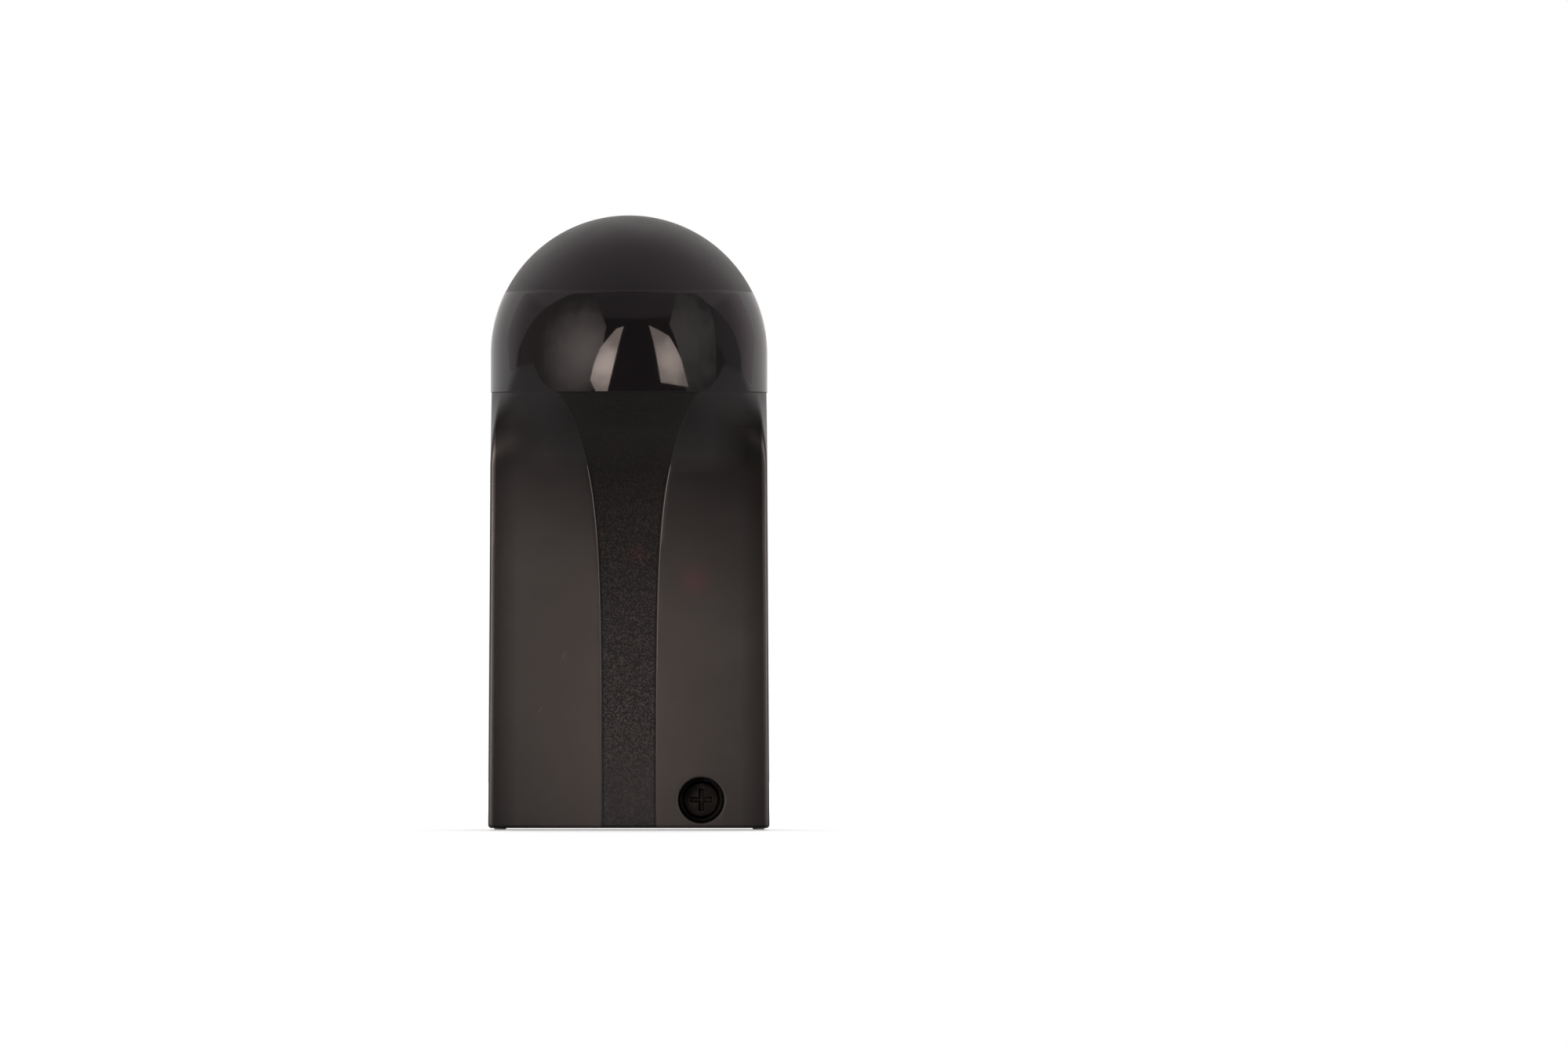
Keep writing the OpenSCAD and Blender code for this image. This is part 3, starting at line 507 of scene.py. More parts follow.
def carved(body: Surface, added: list[Surface], taken: list[Surface]) -> Surface:
    """Adds solids to a body, then takes others away.

    Args:
        body: What to start from.
        added: The solids to add, in order.
        taken: The solids to take away, in order.

    Returns:
        The result.
    """
    work = make_piece("work", body, [])
    for change, tools in ((Change.ADD, added), (Change.TAKE, taken)):
        for tool in tools:
            reshape(work, change, tool, [])
    points = np.empty(len(work.data.vertices) * 3)
    work.data.vertices.foreach_get("co", points)
    faces = [tuple(p.vertices) for p in work.data.polygons]
    bpy.data.objects.remove(work)
    return Surface(points.reshape(-1, 3) / MM, faces)


# Finishes


def linear(code: str) -> tuple[float, float, float, float]:
    """Turns an sRGB hex colour into the linear one that Blender's sockets take.

    Args:
        code: The colour, as # and six hex digits.

    Returns:
        Red, green, blue and a full alpha.
    """
    v = np.array([int(code[k:k + 2], 16) for k in (1, 3, 5)]) / 255
    v = np.where(v <= 0.04045, v / 12.92, ((v + 0.055) / 1.055) ** 2.4)
    return (*v.tolist(), 1.0)


class Graph:
    """The node tree of a material or of the world, in the making."""

    def __init__(self, owner: bpy.types.ID, shader: str = "ShaderNodeBsdfPrincipled",
                 output: str = "ShaderNodeOutputMaterial") -> None:
        """Empties the owner's tree and puts a shader on its output.

        Args:
            owner: The material or the world.
            shader: Type name of the shader node.
            output: Type name of the output node.
        """
        owner.use_nodes = True
        self.owner, self.tree = owner, owner.node_tree
        self.tree.nodes.clear()
        self.shader = self.add(shader)
        self.add(output, {"Surface": self.shader.outputs[0]})
        self.coords = self.add("ShaderNodeTexCoord").outputs
        self.place = self.coords["Object"]

    @classmethod
    def named(cls, name: str, **kinds: str) -> "Graph":
        """Starts a new material of that name."""
        return cls(bpy.data.materials.new(name), **kinds)

    def add(self, kind: str, inputs: dict | None = None, **settings) -> bpy.types.Node:
        """Adds a node with its settings and inputs.

        Args:
            kind: Node's type name.
            inputs: Value or source socket of each input, by its name or number.
            **settings: Values of the node's own properties.

        Returns:
            The node.
        """
        node = self.tree.nodes.new(kind)
        for key, value in settings.items():
            setattr(node, key, value)
        return self.feed(node, inputs or {})

    def feed(self, node: bpy.types.Node, inputs: dict) -> bpy.types.Node:
        """Sets or links inputs of a node.

        Args:
            node: The node.
            inputs: Value or source socket of each input, by its name or number.

        Returns:
            The same node.
        """
        for key, value in inputs.items():
            if isinstance(value, Socket):
                self.tree.links.new(value, node.inputs[key])
            else:
                node.inputs[key].default_value = value
        return node

    def finished(self, **inputs) -> Material:
        """Feeds the shader, whose input names have _ for a space, and returns the material."""
        self.feed(self.shader, {key.replace("_", " "): value for key, value in inputs.items()})
        return self.owner

    @cached_property
    def axes(self) -> list[Socket]:
        """The three object coordinates."""
        return list(self.add("ShaderNodeSeparateXYZ", {0: self.place}).outputs)

    def math(self, operation: str, *values: Socket | float) -> Socket:
        """One step of arithmetic."""
        return self.add("ShaderNodeMath", dict(enumerate(values)), operation=operation).outputs[0]

    def product(self, *values: Socket | float) -> Socket:
        """Product of the values."""
        return reduce(lambda a, b: self.math("MULTIPLY", a, b), values)

    def total(self, *values: Socket | float) -> Socket:
        """Sum of the values."""
        return reduce(lambda a, b: self.math("ADD", a, b), values)

    def vector(self, operation: str, first: Socket, second: Place) -> bpy.types.Node:
        """One step of arithmetic with a place or direction."""
        return self.add("ShaderNodeVectorMath", {0: first, 1: second}, operation=operation)

    def distance(self, start: Socket, x: float, y: float, z: float) -> Socket:
        """Distance of a place from a point given in millimetres."""
        return self.vector("DISTANCE", start, (x * MM, y * MM, z * MM)).outputs["Value"]

    def ramp(self, value: Socket, low: float, high: float, start: float = 0.3, end: float = 0.7,
             smooth: bool = False) -> Socket:
        """Goes from low to high while a value goes from start to end, and is held beyond them.

        Args:
            value: What it follows.
            low: The result up to the start.
            high: The result from the end on.
            start: The value at the start.
            end: The value at the end.
            smooth: Whether the ramp eases in and out.

        Returns:
            The result.
        """
        kind = "SMOOTHSTEP" if smooth else "LINEAR"
        inputs = {0: value, 1: start, 2: end, 3: low, 4: high}
        return self.add("ShaderNodeMapRange", inputs, interpolation_type=kind).outputs[0]

    def fade(self, value: Socket, low: float, high: float, start: float, end: float,
             smooth: bool = False) -> Socket:
        """A ramp whose start and end are millimetres."""
        return self.ramp(value, low, high, start * MM, end * MM, smooth)

    def noise(self, size: float, detail: float = 2.0, rough: float = 0.5) -> Socket:
        """Soft random pattern whose lumps are about the given number of millimetres across."""
        inputs = {"Vector": self.place, "Scale": 1 / (size * MM), "Detail": detail, "Roughness": rough}
        return self.add("ShaderNodeTexNoise", inputs).outputs["Fac"]

    def cells(self, place: Socket, size: float, distance: str = "EUCLIDEAN") -> bpy.types.Node:
        """Random cells about the given number of millimetres across."""
        inputs = {"Vector": place, "Scale": 1 / (size * MM)}
        return self.add("ShaderNodeTexVoronoi", inputs, feature="F1", distance=distance)

    def blend(self, share: Socket, first: Socket | str, second: Socket | str) -> Socket:
        """Mixes two colours, each a socket or an sRGB hex code, by a share."""
        a, b = [linear(colour) if isinstance(colour, str) else colour for colour in (first, second)]
        return self.add("ShaderNodeMix", {"Factor": share, 6: a, 7: b}, data_type="RGBA").outputs[2]

    def mix(self, share: Socket, first: Socket | float, second: Socket | float) -> Socket:
        """Mixes two values by a share."""
        return self.add("ShaderNodeMix", {"Factor": share, 2: first, 3: second}, data_type="FLOAT").outputs[0]

    def bump(self, height: Socket, depth: float) -> None:
        """Feeds a height pattern, whose full range is a depth in millimetres, into the shader's normal."""
        node = self.add("ShaderNodeBump", {"Height": height, "Distance": depth * MM, "Strength": 1.0})
        self.feed(self.shader, {"Normal": node.outputs[0]})


@dataclass(frozen=True)
class MouldedPlastic:
    """Injection-moulded or dipped plastic with a fine grain.

    The grain scatters light a little, the colour drifts slightly where the melt flowed, and the roughness
    varies with handling.
    """

    name: str
    colour: str
    drift: str
    roughness: float = 0.5
    grain: float = 0.35
    grain_depth: float = 0.012

    def build(self) -> Material:
        """Makes the material.

        Returns:
            The material.
        """
        graph = Graph.named(self.name)
        graph.bump(graph.noise(self.grain, 2.0, 0.6), self.grain_depth)
        return graph.finished(
            Base_Color=graph.blend(graph.ramp(graph.noise(9.0, 3.0), 0, 1), self.colour, self.drift),
            Roughness=graph.ramp(graph.noise(3.0, 4.0), self.roughness - 0.05, self.roughness + 0.07),
            IOR=1.53)


@dataclass(frozen=True)
class MouldedRubber:
    """Moulded black rubber: matt, faintly dusty, with a soft low grain."""

    name: str
    colour: str = "#141414"
    bloom: str = "#262524"

    def build(self) -> Material:
        """Makes the material.

        Returns:
            The material.
        """
        graph = Graph.named(self.name)
        dust = graph.noise(2.2, 5.0, 0.65)
        graph.bump(graph.noise(0.5, 3.0), 0.02)
        colour = graph.blend(graph.ramp(dust, 0, 1, 0.45, 0.75), self.colour, self.bloom)
        return graph.finished(Base_Color=colour, Roughness=graph.ramp(dust, 0.62, 0.82), IOR=1.5)


@dataclass(frozen=True)
class PlatedMetal:
    """Plated or passivated steel, brass or nickel: fine tool marks and a cloudy sheen."""

    name: str
    colour: str
    cloud: str
    roughness: float = 0.3
    mark: float = 0.12

    def build(self) -> Material:
        """Makes the material.

        Returns:
            The material.
        """
        graph = Graph.named(self.name)
        haze = graph.noise(1.4, 4.0)
        graph.bump(graph.noise(self.mark), 0.0012)
        rough = graph.ramp(haze, self.roughness - 0.07, self.roughness + 0.1)
        return graph.finished(Base_Color=graph.blend(graph.ramp(haze, 0, 1), self.colour, self.cloud),
                              Roughness=rough, Metallic=1.0)


@dataclass(frozen=True)
class ClearCast:
    """Clear or tinted plastic that was cast or moulded and polished: light passes through it."""

    name: str
    colour: str
    ior: float
    roughness: float = 0.03
    glow: float = 0.0

    def build(self) -> Material:
        """Makes the material.

        Returns:
            The material.
        """
        graph = Graph.named(self.name)
        flow = graph.noise(4.0)
        graph.bump(flow, 0.01)
        if self.glow:
            graph.finished(Emission_Color=linear(self.colour), Emission_Strength=self.glow)
        return graph.finished(Base_Color=graph.blend(graph.ramp(flow, 0, 0.4), self.colour, "#ffffff"),
                              Roughness=graph.ramp(flow, self.roughness, self.roughness + 0.03),
                              Transmission_Weight=0.92, IOR=self.ior)


@dataclass(frozen=True)
class CircuitBoard:
    """Glass-cloth board under green solder resist, with copper tracks and small plated holes showing.

    Square-edged cells each pick whether their tracks run up or across, whether they have any, and whether
    they are filled with copper. The plated holes are the middles of smaller cells.
    """

    name: str
    resist: str = "#0f4526"
    track: str = "#1f6a3a"
    hole: str = "#b9bdb4"
    cell: float = 7.0
    pitch: float = 0.9
    hole_cell: float = 3.7

    def build(self) -> Material:
        """Makes the material.

        Returns:
            The material.
        """
        graph = Graph.named(self.name)
        flat = graph.add("ShaderNodeMapping", {0: graph.place, "Scale": (1, 0, 1)}).outputs[0]
        cells = graph.cells(flat, self.cell, "CHEBYCHEV").outputs["Color"]
        pick = graph.add("ShaderNodeSeparateColor", {0: cells}).outputs
        line = graph.mix(graph.math("GREATER_THAN", pick[0], 0.5), graph.axes[2], graph.axes[0])
        wave = graph.math("FRACT", graph.product(line, 1 / (self.pitch * MM)))
        some = graph.math("GREATER_THAN", pick[1], 0.4)
        pour = graph.math("GREATER_THAN", pick[2], 0.8)
        track = graph.math("MAXIMUM", graph.product(graph.math("LESS_THAN", wave, 0.34), some), pour)
        dots = graph.cells(flat, self.hole_cell).outputs["Distance"]
        dot = graph.math("LESS_THAN", dots, 0.09)
        graph.bump(track, 0.03)
        green = graph.blend(track, self.resist, self.track)
        return graph.finished(Base_Color=graph.blend(dot, green, self.hole), Metallic=dot,
                              Roughness=graph.ramp(graph.noise(1.5), 0.3, 0.42))


class Zone(Enum):
    """The three surface finishes that the cover's mould has."""

    SATIN = 0
    WINDOW = 1
    SPARK = 2


@dataclass(frozen=True)
class SmokedPolycarbonate:
    """Infrared-pass polycarbonate, tinted so deep that it looks brown-black.

    Its window is diamond-polished in the mould, its faces are satin, and the band has a coarse spark-eroded
    grain. Light barely gets in, so nearly all that shows is the reflection off the skin. How strong that is
    differs over the skin: painted shade weakens it in places and painted highlight strengthens it at the front
    edges.
    """

    zone: Zone
    colour: str = "#100f11"
    drift: str = "#151314"
    # Colour of the light painted into the satin face, lightest at its foot and its middle
    glow: str = "#36302d"
    ior: float = 1.585
    # Across and up place of each lamp behind the wall, and the reach and strength of the glow painted for it
    lamps: tuple = ((1.7, -5.8, 2.6, 0.010), (11.6, -10.6, 4.2, 0.019))
    lamp_red: tuple = (1.0, 0.09, 0.11, 1.0)
    # Across and up place of each scratch and its lean in radians
    scratches: tuple = ((-11.6, -23.9, 0.45), (-15.8, -33.7, 0.7))

    def build(self) -> Material:
        """Makes the material of one zone.

        Returns:
            The material.
        """
        graph = Graph.named(f"smoked_polycarbonate_{self.zone.name.lower()}")
        tint_and_painted_glow = graph.blend(graph.ramp(graph.noise(14.0, 3.0), 0, 1), self.colour, self.drift)
        # The satin face's colour is painted lighter at its foot and its middle, as painted light
        if self.zone is Zone.SATIN:
            tint_and_painted_glow = graph.blend(self.painted_glow_share(graph), tint_and_painted_glow, self.glow)
        {Zone.SATIN: self.satin, Zone.WINDOW: self.window, Zone.SPARK: self.spark}[self.zone](graph)
        return graph.finished(IOR=self.ior, Base_Color=tint_and_painted_glow, Emission_Color=self.lamp_red,
                              Emission_Strength=self.painted_lamp_glow(graph))

    def face(self, graph: Graph) -> Socket:
        """1 on the flat front face and 0 behind it."""
        return graph.fade(graph.axes[1], 1.0, 0.0, -27.4, -27)

    def painted_glow_share(self, graph: Graph) -> Socket:
        """Share of painted light in the face's colour: most at its foot and its middle."""
        near = graph.fade(graph.math("ABSOLUTE", graph.axes[0]), 1.0, 0.0, 4, 24)
        return graph.product(near, graph.fade(graph.axes[2], 1.0, 0.0, -45, 2), self.face(graph))

    def satin(self, graph: Graph) -> None:
        """Satin blasting, its reflection weakened by painted shade towards the top, the right, the side edges
        and the sweep's two ends.

        Painted highlight makes the edges of the front shine more. Two short scratches shine as well.

        Args:
            graph: The material's node tree.
        """
        x, _, z = graph.axes
        aside = graph.math("ABSOLUTE", x)
        # Painted shade: weaker reflection upwards, to the right, at the side edges and at the sweep's ends
        upper = graph.fade(graph.math("MULTIPLY_ADD", x, 0.35, z), 1.0, 0.25, -15, 17)
        outer = graph.fade(aside, 1.0, 0.55, 20, 23.5)
        # Painted highlight: stronger reflection at the front's corners
        corner = graph.fade(graph.math("MULTIPLY_ADD", z, 0.00625, aside), 0.0, 3.6, 23.7, 24.85)
        face = graph.math("MAXIMUM", graph.product(upper, outer), corner)
        ends = graph.product(graph.fade(x, 0.3, 1.0, -22, -15), graph.fade(x, 1.0, 0.14, 15, 21))
        ends = graph.math("MAXIMUM", ends, corner)
        sweep = graph.mix(graph.fade(z, 0.0, 1.0, 17, 20.5), ends, 1.0)
        level = graph.mix(graph.fade(z, 1.0, 0.0, 8.5, 12), sweep, face)
        level = graph.product(graph.mix(self.face(graph), 1.0, level), 0.5)
        for across, up, lean in self.scratches:
            level = graph.math("MULTIPLY_ADD", self.scratch(graph, across, up, lean), 0.5, level)
        graph.bump(graph.noise(0.3), 0.004)
        graph.finished(Roughness=graph.ramp(graph.noise(5.0, 4.0, 0.6), 0.35, 0.41), Specular_IOR_Level=level)

    def window(self, graph: Graph) -> None:
        """Polish with a slight moulding wave, which has worn duller along the lower edge of the band.

        Args:
            graph: The material's node tree.
        """
        worn = graph.fade(graph.axes[2], 0.0, 0.3, -8, -36)
        graph.bump(graph.noise(9.0, 1.0), 0.01)
        graph.finished(Roughness=graph.total(graph.ramp(graph.noise(6.0, 3.0), 0.03, 0.07), worn))

    def spark(self, graph: Graph) -> None:
        """Spark-eroded pits that glitter, smoother under the window and near the bottom, their reflection
        dimmed upwards by painted shade.

        Args:
            graph: The material's node tree.
        """
        z = graph.axes[2]
        high = graph.fade(z, 1.0, 0.0, -50, 9)
        smooth = graph.fade(z, 1.0, 0.15, 5, 14)
        amount = graph.product(graph.fade(z, 0.35, 1.0, -48, -36), smooth)
        glitter = graph.ramp(graph.noise(0.3, 1.0), -0.38, 0.8, 0.42, 0.7)
        glitter = graph.math("MULTIPLY_ADD", glitter, amount, 1.0)
        # Painted shade: the pits reflect less from the bottom up to the sweep, and a little more again within
        # it
        level = graph.total(graph.ramp(high, 0.1, 0.5, 0.0, 1.0), graph.fade(z, 0.0, 0.2, 9.5, 16))
        rough = graph.ramp(graph.noise(0.9, 3.0), -0.08, 0.08)
        rough = graph.total(rough, graph.ramp(high, 0.66, 0.5, 0.0, 1.0))
        pits = graph.cells(graph.place, 0.42).outputs["Distance"]
        graph.bump(graph.product(pits, smooth), 0.09)
        graph.finished(Roughness=rough, Specular_IOR_Level=graph.product(level, glitter))

    def scratch(self, graph: Graph, x: float, z: float, lean: float) -> Socket:
        """Masks one short scratch: near the line through its middle, and near its middle along that line.

        Args:
            graph: The material's node tree.
            x: Across place of its middle.
            z: Height of its middle.
            lean: Its lean from upright, in radians.

        Returns:
            1 on the scratch and 0 elsewhere.
        """
        half_width, half_length = 0.07, 0.8
        sine, cosine = math.sin(lean), math.cos(lean)
        off = graph.vector("SUBTRACT", graph.place, (x * MM, 0.0, z * MM)).outputs[0]
        near = []
        for way, reach in (((cosine, 0.0, -sine), half_width), ((sine, 0.0, cosine), half_length)):
            far = graph.math("ABSOLUTE", graph.vector("DOT_PRODUCT", off, way).outputs["Value"])
            near.append(graph.ramp(far, 1.0, 0.0, 0.5 * reach * MM, reach * MM))
        return graph.product(*near)

    def painted_lamp_glow(self, graph: Graph) -> Socket:
        """Painted glow: faint red light of the lamps through the wall, falling smoothly with the distance from
        each.

        Args:
            graph: The material's node tree.

        Returns:
            The strength of the glow.
        """
        flat = graph.vector("MULTIPLY", graph.place, (1.0, 0.0, 1.0)).outputs[0]
        return graph.total(*[graph.fade(graph.distance(flat, x, 0, z), power, 0.0, 0.0, reach, True)
                             for x, z, reach, power in self.lamps])


FINISHES = (
    # Light grey housing plastic from a finely etched mould: even, half matt
    MouldedPlastic("pale_grey_abs", "#c9c8c4", "#c2c1bc", 0.5),
    # Short glass fibres at the skin of the moulding give the black nylon a dry, cloudy look
    MouldedPlastic("black_glass_filled_nylon", "#1b1b1c", "#242425", 0.5, 0.25, 0.02),
    # Blasted nylon that keeps stray light out of the barrel: the dullest black
    MouldedPlastic("matt_black_barrel_nylon", "#101010", "#181818", 0.62, 0.2, 0.015),
    # Uncoloured and dyed nylon of the connectors: waxy, half glossy
    MouldedPlastic("ivory_nylon", "#ddd9cb", "#d5d0c0", 0.48),
    MouldedPlastic("green_nylon", "#2a7040", "#256438", 0.42),
    MouldedPlastic("red_nylon", "#b32420", "#a31f1c", 0.4),
    # Polyester relay case from a polished mould: smooth and half glossy
    MouldedPlastic("blue_pbt", "#1f4487", "#1b3b78", 0.36),
    # Lacquer that the disc was dipped in: glossy, with the waves of its run-off
    MouldedPlastic("blue_dipped_lacquer", "#2a62a4", "#245792", 0.22, 1.2, 0.06),
    # Thin sleeve shrunk over the can: glossy, following every dent, with a printed stripe
    MouldedPlastic("shrunk_pvc_sleeve", "#20264f", "#1b2045", 0.28, 2.0, 0.01),
    MouldedPlastic("sleeve_stripe_ink", "#b9bdc9", "#a9aebd", 0.32, 2.0, 0.01),
    # Transfer-moulded epoxy of chips: dark grey with a fine, dry grain
    MouldedPlastic("black_moulded_epoxy", "#1a1a1b", "#222223", 0.5, 0.12, 0.012),
    MouldedPlastic("silver_band_ink", "#c2c3c4", "#b2b3b5", 0.35, 0.5, 0.006),
    # Sawn edge of the board: bare cloth and resin, rough and yellowish
    MouldedPlastic("glass_cloth_laminate_edge", "#a9a468", "#8f8b54", 0.6, 0.2, 0.03),
    # Extruded wire sleeve: smooth, with a soft gloss
    MouldedPlastic("red_pvc_sleeve", "#a92420", "#9a201c", 0.35, 1.0, 0.012),
    # Fired ceramic of chip capacitors: dense, tan and dull
    MouldedPlastic("tan_ceramic", "#9e8460", "#8f7654", 0.5, 0.2, 0.012),
    MouldedRubber("black_moulded_rubber"),
    # Zinc-plated steel under a black passivation: a dull sheen with brown in it
    PlatedMetal("black_passivated_steel", "#3a3836", "#2c2a29", 0.36),
    # Zinc plating over turned or pressed steel: bright and slightly blue
    PlatedMetal("bright_zinc_plated_steel", "#b9bbbd", "#a6a9ad", 0.26),
    # Nickel over bent brass: a warm tone under the bright skin
    PlatedMetal("nickel_plated_brass", "#c9c0a4", "#b9ae8e", 0.28),
    # Deep-drawn can: the smoothest metal here, with long draw marks
    PlatedMetal("drawn_nickel_silver", "#c4c5c6", "#b3b5b7", 0.2, 0.3),
    # Hot-dipped tin on leads and lands: cloudy, half bright
    PlatedMetal("tinned_copper", "#c8c8c6", "#b0b0ad", 0.3, 0.25),
    # Polished acrylic lens: clear, with a breath of blue
    ClearCast("clear_acrylic", "#f2f7fa", 1.49),
    # Cast epoxy of the lamps, dyed red and faintly lit from inside
    ClearCast("red_clear_epoxy", "#d8231a", 1.54, 0.04, 0.25),
    # Cast epoxy of the detector's window, which stops daylight: nearly black with violet in it
    ClearCast("photodiode_daylight_filter_epoxy", "#2a1020", 1.55, 0.05),
    CircuitBoard("solder_resist_over_tracks"),
)


# The part's assemblies


@dataclass
class Assembly:
    """Dressed pieces of one sub-assembly, with the sizes that the assemblies share.

    The sizes are those of the part's source.
    """

    finishes: dict[str, Material]
    dome_r: float = 24.8
    dome_z: float = 30.1
    dome_depth: float = 18.5
    bottom_z: float = -54.9
    sweep_z: float = 9.1
    side_flare: float = 0.4
    screw_x: float = 12.94
    screw_z: float = -49.9
    board_screw_x: float = 17.1
    board_screw_z: tuple[float, float] = (-33.7, 8.9)
    bracket_screw: tuple[float, float] = (10.4, 7.5)
    board_face: float = 11.6

    def board_screws(self, depth: float = 0.0) -> list[Place]:
        """Places of the board's four screws at a depth."""
        return [(side * self.board_screw_x, -depth, z) for side in (-1, 1) for z in self.board_screw_z]

    def dress(self, name: str, node: str, slot: str, skins: dict[str, Surface], body: str = "base",
              crease: float = 30.0) -> Piece:
        """Makes one piece out of a surface for each of its finishes.

        Args:
            name: Name of the piece.
            node: CAD node that the piece stands for.
            slot: Material slot of the record.
            skins: Surface of each finish, by the finish's name.
            body: Body that it rides on, or none for a piece left loose.
            crease: Angle in degrees past which an edge is crisp.

        Returns:
            The piece.
        """
        surface = joined([skin.painted(number) for number, skin in enumerate(skins.values())])
        piece = make_piece(name, surface, [self.finishes[finish] for finish in skins], crease)
        return self.mount(piece, node, slot, body)

    def mount(self, piece: Piece, node: str, slot: str, body: str) -> Piece:
        """Lets a piece stand for its CAD node and ride on its body.

        Large faces lead its shading, so that a flat face stays flat up to its fine round edge.

        Args:
            piece: The piece.
            node: CAD node that it stands for.
            slot: Material slot of the record; not used.
            body: Body that it rides on, or none for a piece left loose.

        Returns:
            The same piece.
        """
        shading = piece.modifiers.new("face_weighted_shading", "WEIGHTED_NORMAL")
        shading.keep_sharp, shading.weight = True, 90
        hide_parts(node)
        LOG.info("%s: %d faces", piece.name, len(piece.data.polygons))
        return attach(piece, body) if body else piece


@dataclass
class SmokedCover(Assembly):
    """The smoked front cover: dome, polished window, swept front, textured band and screw well."""

    crease_z: float = 23.2
    crease_rise: float = 11.0
    face_depth: float = 27.5
    rim_depth: float = 9.0
    wall: float = 2.0
    step: float = 0.15
    edge_r: float = 0.5
    inner_edge_r: float = 0.4
    tail_share: float = 0.95
    tail_depth: float = 1.0
    tail_power: float = 2.2
    foot_r: float = 0.6
    band_half_w: float = 4.64
    band_flare: float = 8.06
    band_fall: float = 11.5
    band_step: float = 0.4
    band_slope: float = 0.7
    well_r: float = 4.08
    well_depth: float = 15.5
    well_floor: float = 1.8
    well_wall: float = 1.4
    shank_r: float = 1.95
    mouth_r: float = 0.3
    crisp_angle: float = 28.0
    # Columns of the grid, counted from the middle: the band's floor, its slope and the face beside it
    floor_cols: int = 14
    slope_cols: int = 9
    face_cols: int = 26

    def band_w(self, z: Array) -> Array:
        """Half width of the band: the straight one plus a flare that falls off exponentially downwards."""
        over = np.minimum(z, self.crease_z) - self.crease_z
        return self.band_half_w + self.band_flare * np.exp(over / self.band_fall)

    def tail(self, z: Array) -> Array:
        """How far the face stands out where the sweep runs out into it.

        Counted in sweep heights s under the crease: past 1 it falls from its full depth as a power of what
        is left of the tail, and above that it rises on along a parabola up to s = 0.5 and stays there.

        Args:
            z: Heights.

        Returns:
            How far the face stands out at each.
        """
        s = (self.crease_z - z) / (self.crease_z - self.sweep_z)
        fall = self.tail_power * self.tail_depth / self.tail_share
        t = np.clip((1 - s) / 0.5, 0, 1)
        rise = self.tail_depth + 0.25 * fall * (2 * t - t**2)
        rest = np.clip(1 - (s - 1) / self.tail_share, 0, None)
        return np.where(s < 1, rise, self.tail_depth * rest**self.tail_power)

    def rows(self, inset: float) -> dict[str, Array]:
        """Levels of the shell from the bottom up: foot, face, sweep, ledge, nose and dome.

        Each level has a height z, a share left of the nose, a ball radius for the nose, a set-back of the
        nose and a shrink of the outline.

        Args:
            inset: How far inside the outer skin this surface lies.

        Returns:
            Arrays by name, one value a level.
        """
        r, bottom = self.dome_r - inset, self.bottom_z + inset
        t = np.linspace(0, math.pi / 2, 7)[:-1]
        foot_z = bottom + self.foot_r * (1 - np.cos(t))
        low_z = self.sweep_z - self.tail_share * (self.crease_z - self.sweep_z)
        face_z = np.concatenate([np.linspace(bottom + self.foot_r, low_z, 60)[:-1],
                                 np.linspace(low_z, self.sweep_z, 33)[:-1]])
        share = np.linspace(1, 0, 57)
        sweep_z = self.crease_z - self.step - (self.crease_z - self.step - self.sweep_z) * share
        ledge_z = self.crease_z + np.array([-0.6, -0.25, 0.0, 0.25]) * self.step
        ledge_back = self.step * np.array([0.8, 0.35, 0.12, 0.0])
        nose_z = np.linspace(self.crease_z + 0.5 * self.step, self.dome_z, 22)[:-1]
        # Angles up the dome, close together at the small ledge over the window
        rise = math.degrees(math.asin(self.crease_rise / self.dome_r))
        ledge_angle, ledge_depth = 0.55, 0.07
        up = np.concatenate([np.linspace(0, rise, 26)[:-1], [rise], rise + np.array([0.12, 0.3, ledge_angle]),
                             np.linspace(rise + 1.2, 90, 56)])
        dome_z = self.dome_z + r * np.sin(np.radians(up))
        z = np.concatenate([foot_z, face_z, sweep_z, ledge_z, nose_z, dome_z])
        above = len(z) - len(foot_z) - len(face_z) - len(sweep_z)
        low = np.zeros(len(foot_z) + len(face_z))
        left = np.concatenate([low, 1 - np.sin(np.pi / 2 * share), np.ones(above)])
        back = np.concatenate([0 * foot_z, self.step + 0 * face_z, self.step + 0 * share, ledge_back,
                               0 * nose_z, np.clip((up - rise) / ledge_angle, 0, 1) * ledge_depth])
        shrink = np.concatenate([self.foot_r * (1 - np.sin(t)), np.zeros(len(z) - len(foot_z))])
        ball = np.sqrt(np.maximum(r**2 - np.where(z > self.dome_z, z - self.dome_z, 0) ** 2, 0))
        reach = np.sqrt(np.maximum(r**2 - (np.maximum(z, self.crease_z) - self.dome_z) ** 2, 0))
        flare = self.side_flare * np.clip((self.sweep_z - z) / (self.sweep_z - self.bottom_z), 0, 1)
        return {"z": z, "left": left, "back": back, "side": ball + flare - shrink, "reach": reach - back,
                "front": self.face_depth + self.tail(z) - inset - shrink, "ball": ball}

    def grid(self, inset: float, step: float, edge_r: float) -> tuple[Array, Array]:
        """The skin as a grid of points, from the left rim over the front to the right rim.

        A flat section is a box with round front edges, and a nose section is a half ellipse as wide as the
        box, whose depth is the ball's reach at that height. A level's point is the flat one plus the nose's
        share times what lies between the two at the same angle round the pan axis. Columns follow the
        band's edges, where the skin steps back. The lowest rows are the bottom wall, drawn back to the rim.

        Args:
            inset: How far inside the outer skin this surface lies.
            step: Depth of the band's step.
            edge_r: Radius of the front edges.

        Returns:
            The points, as levels by columns by coordinates, and the height of each level.
        """
        lv = {name: values[:, None] for name, values in self.rows(inset).items()}
        z, side, left, reach, front = (lv[k] for k in ("z", "side", "left", "reach", "front"))
        r, depth = self.dome_r - inset, self.dome_depth
        corner = math.acos((self.face_depth - depth - inset) / r)
        a1 = math.asin((r - edge_r) / r * math.sin(corner))
        a2 = math.acos((self.face_depth - depth - inset - edge_r) / r)
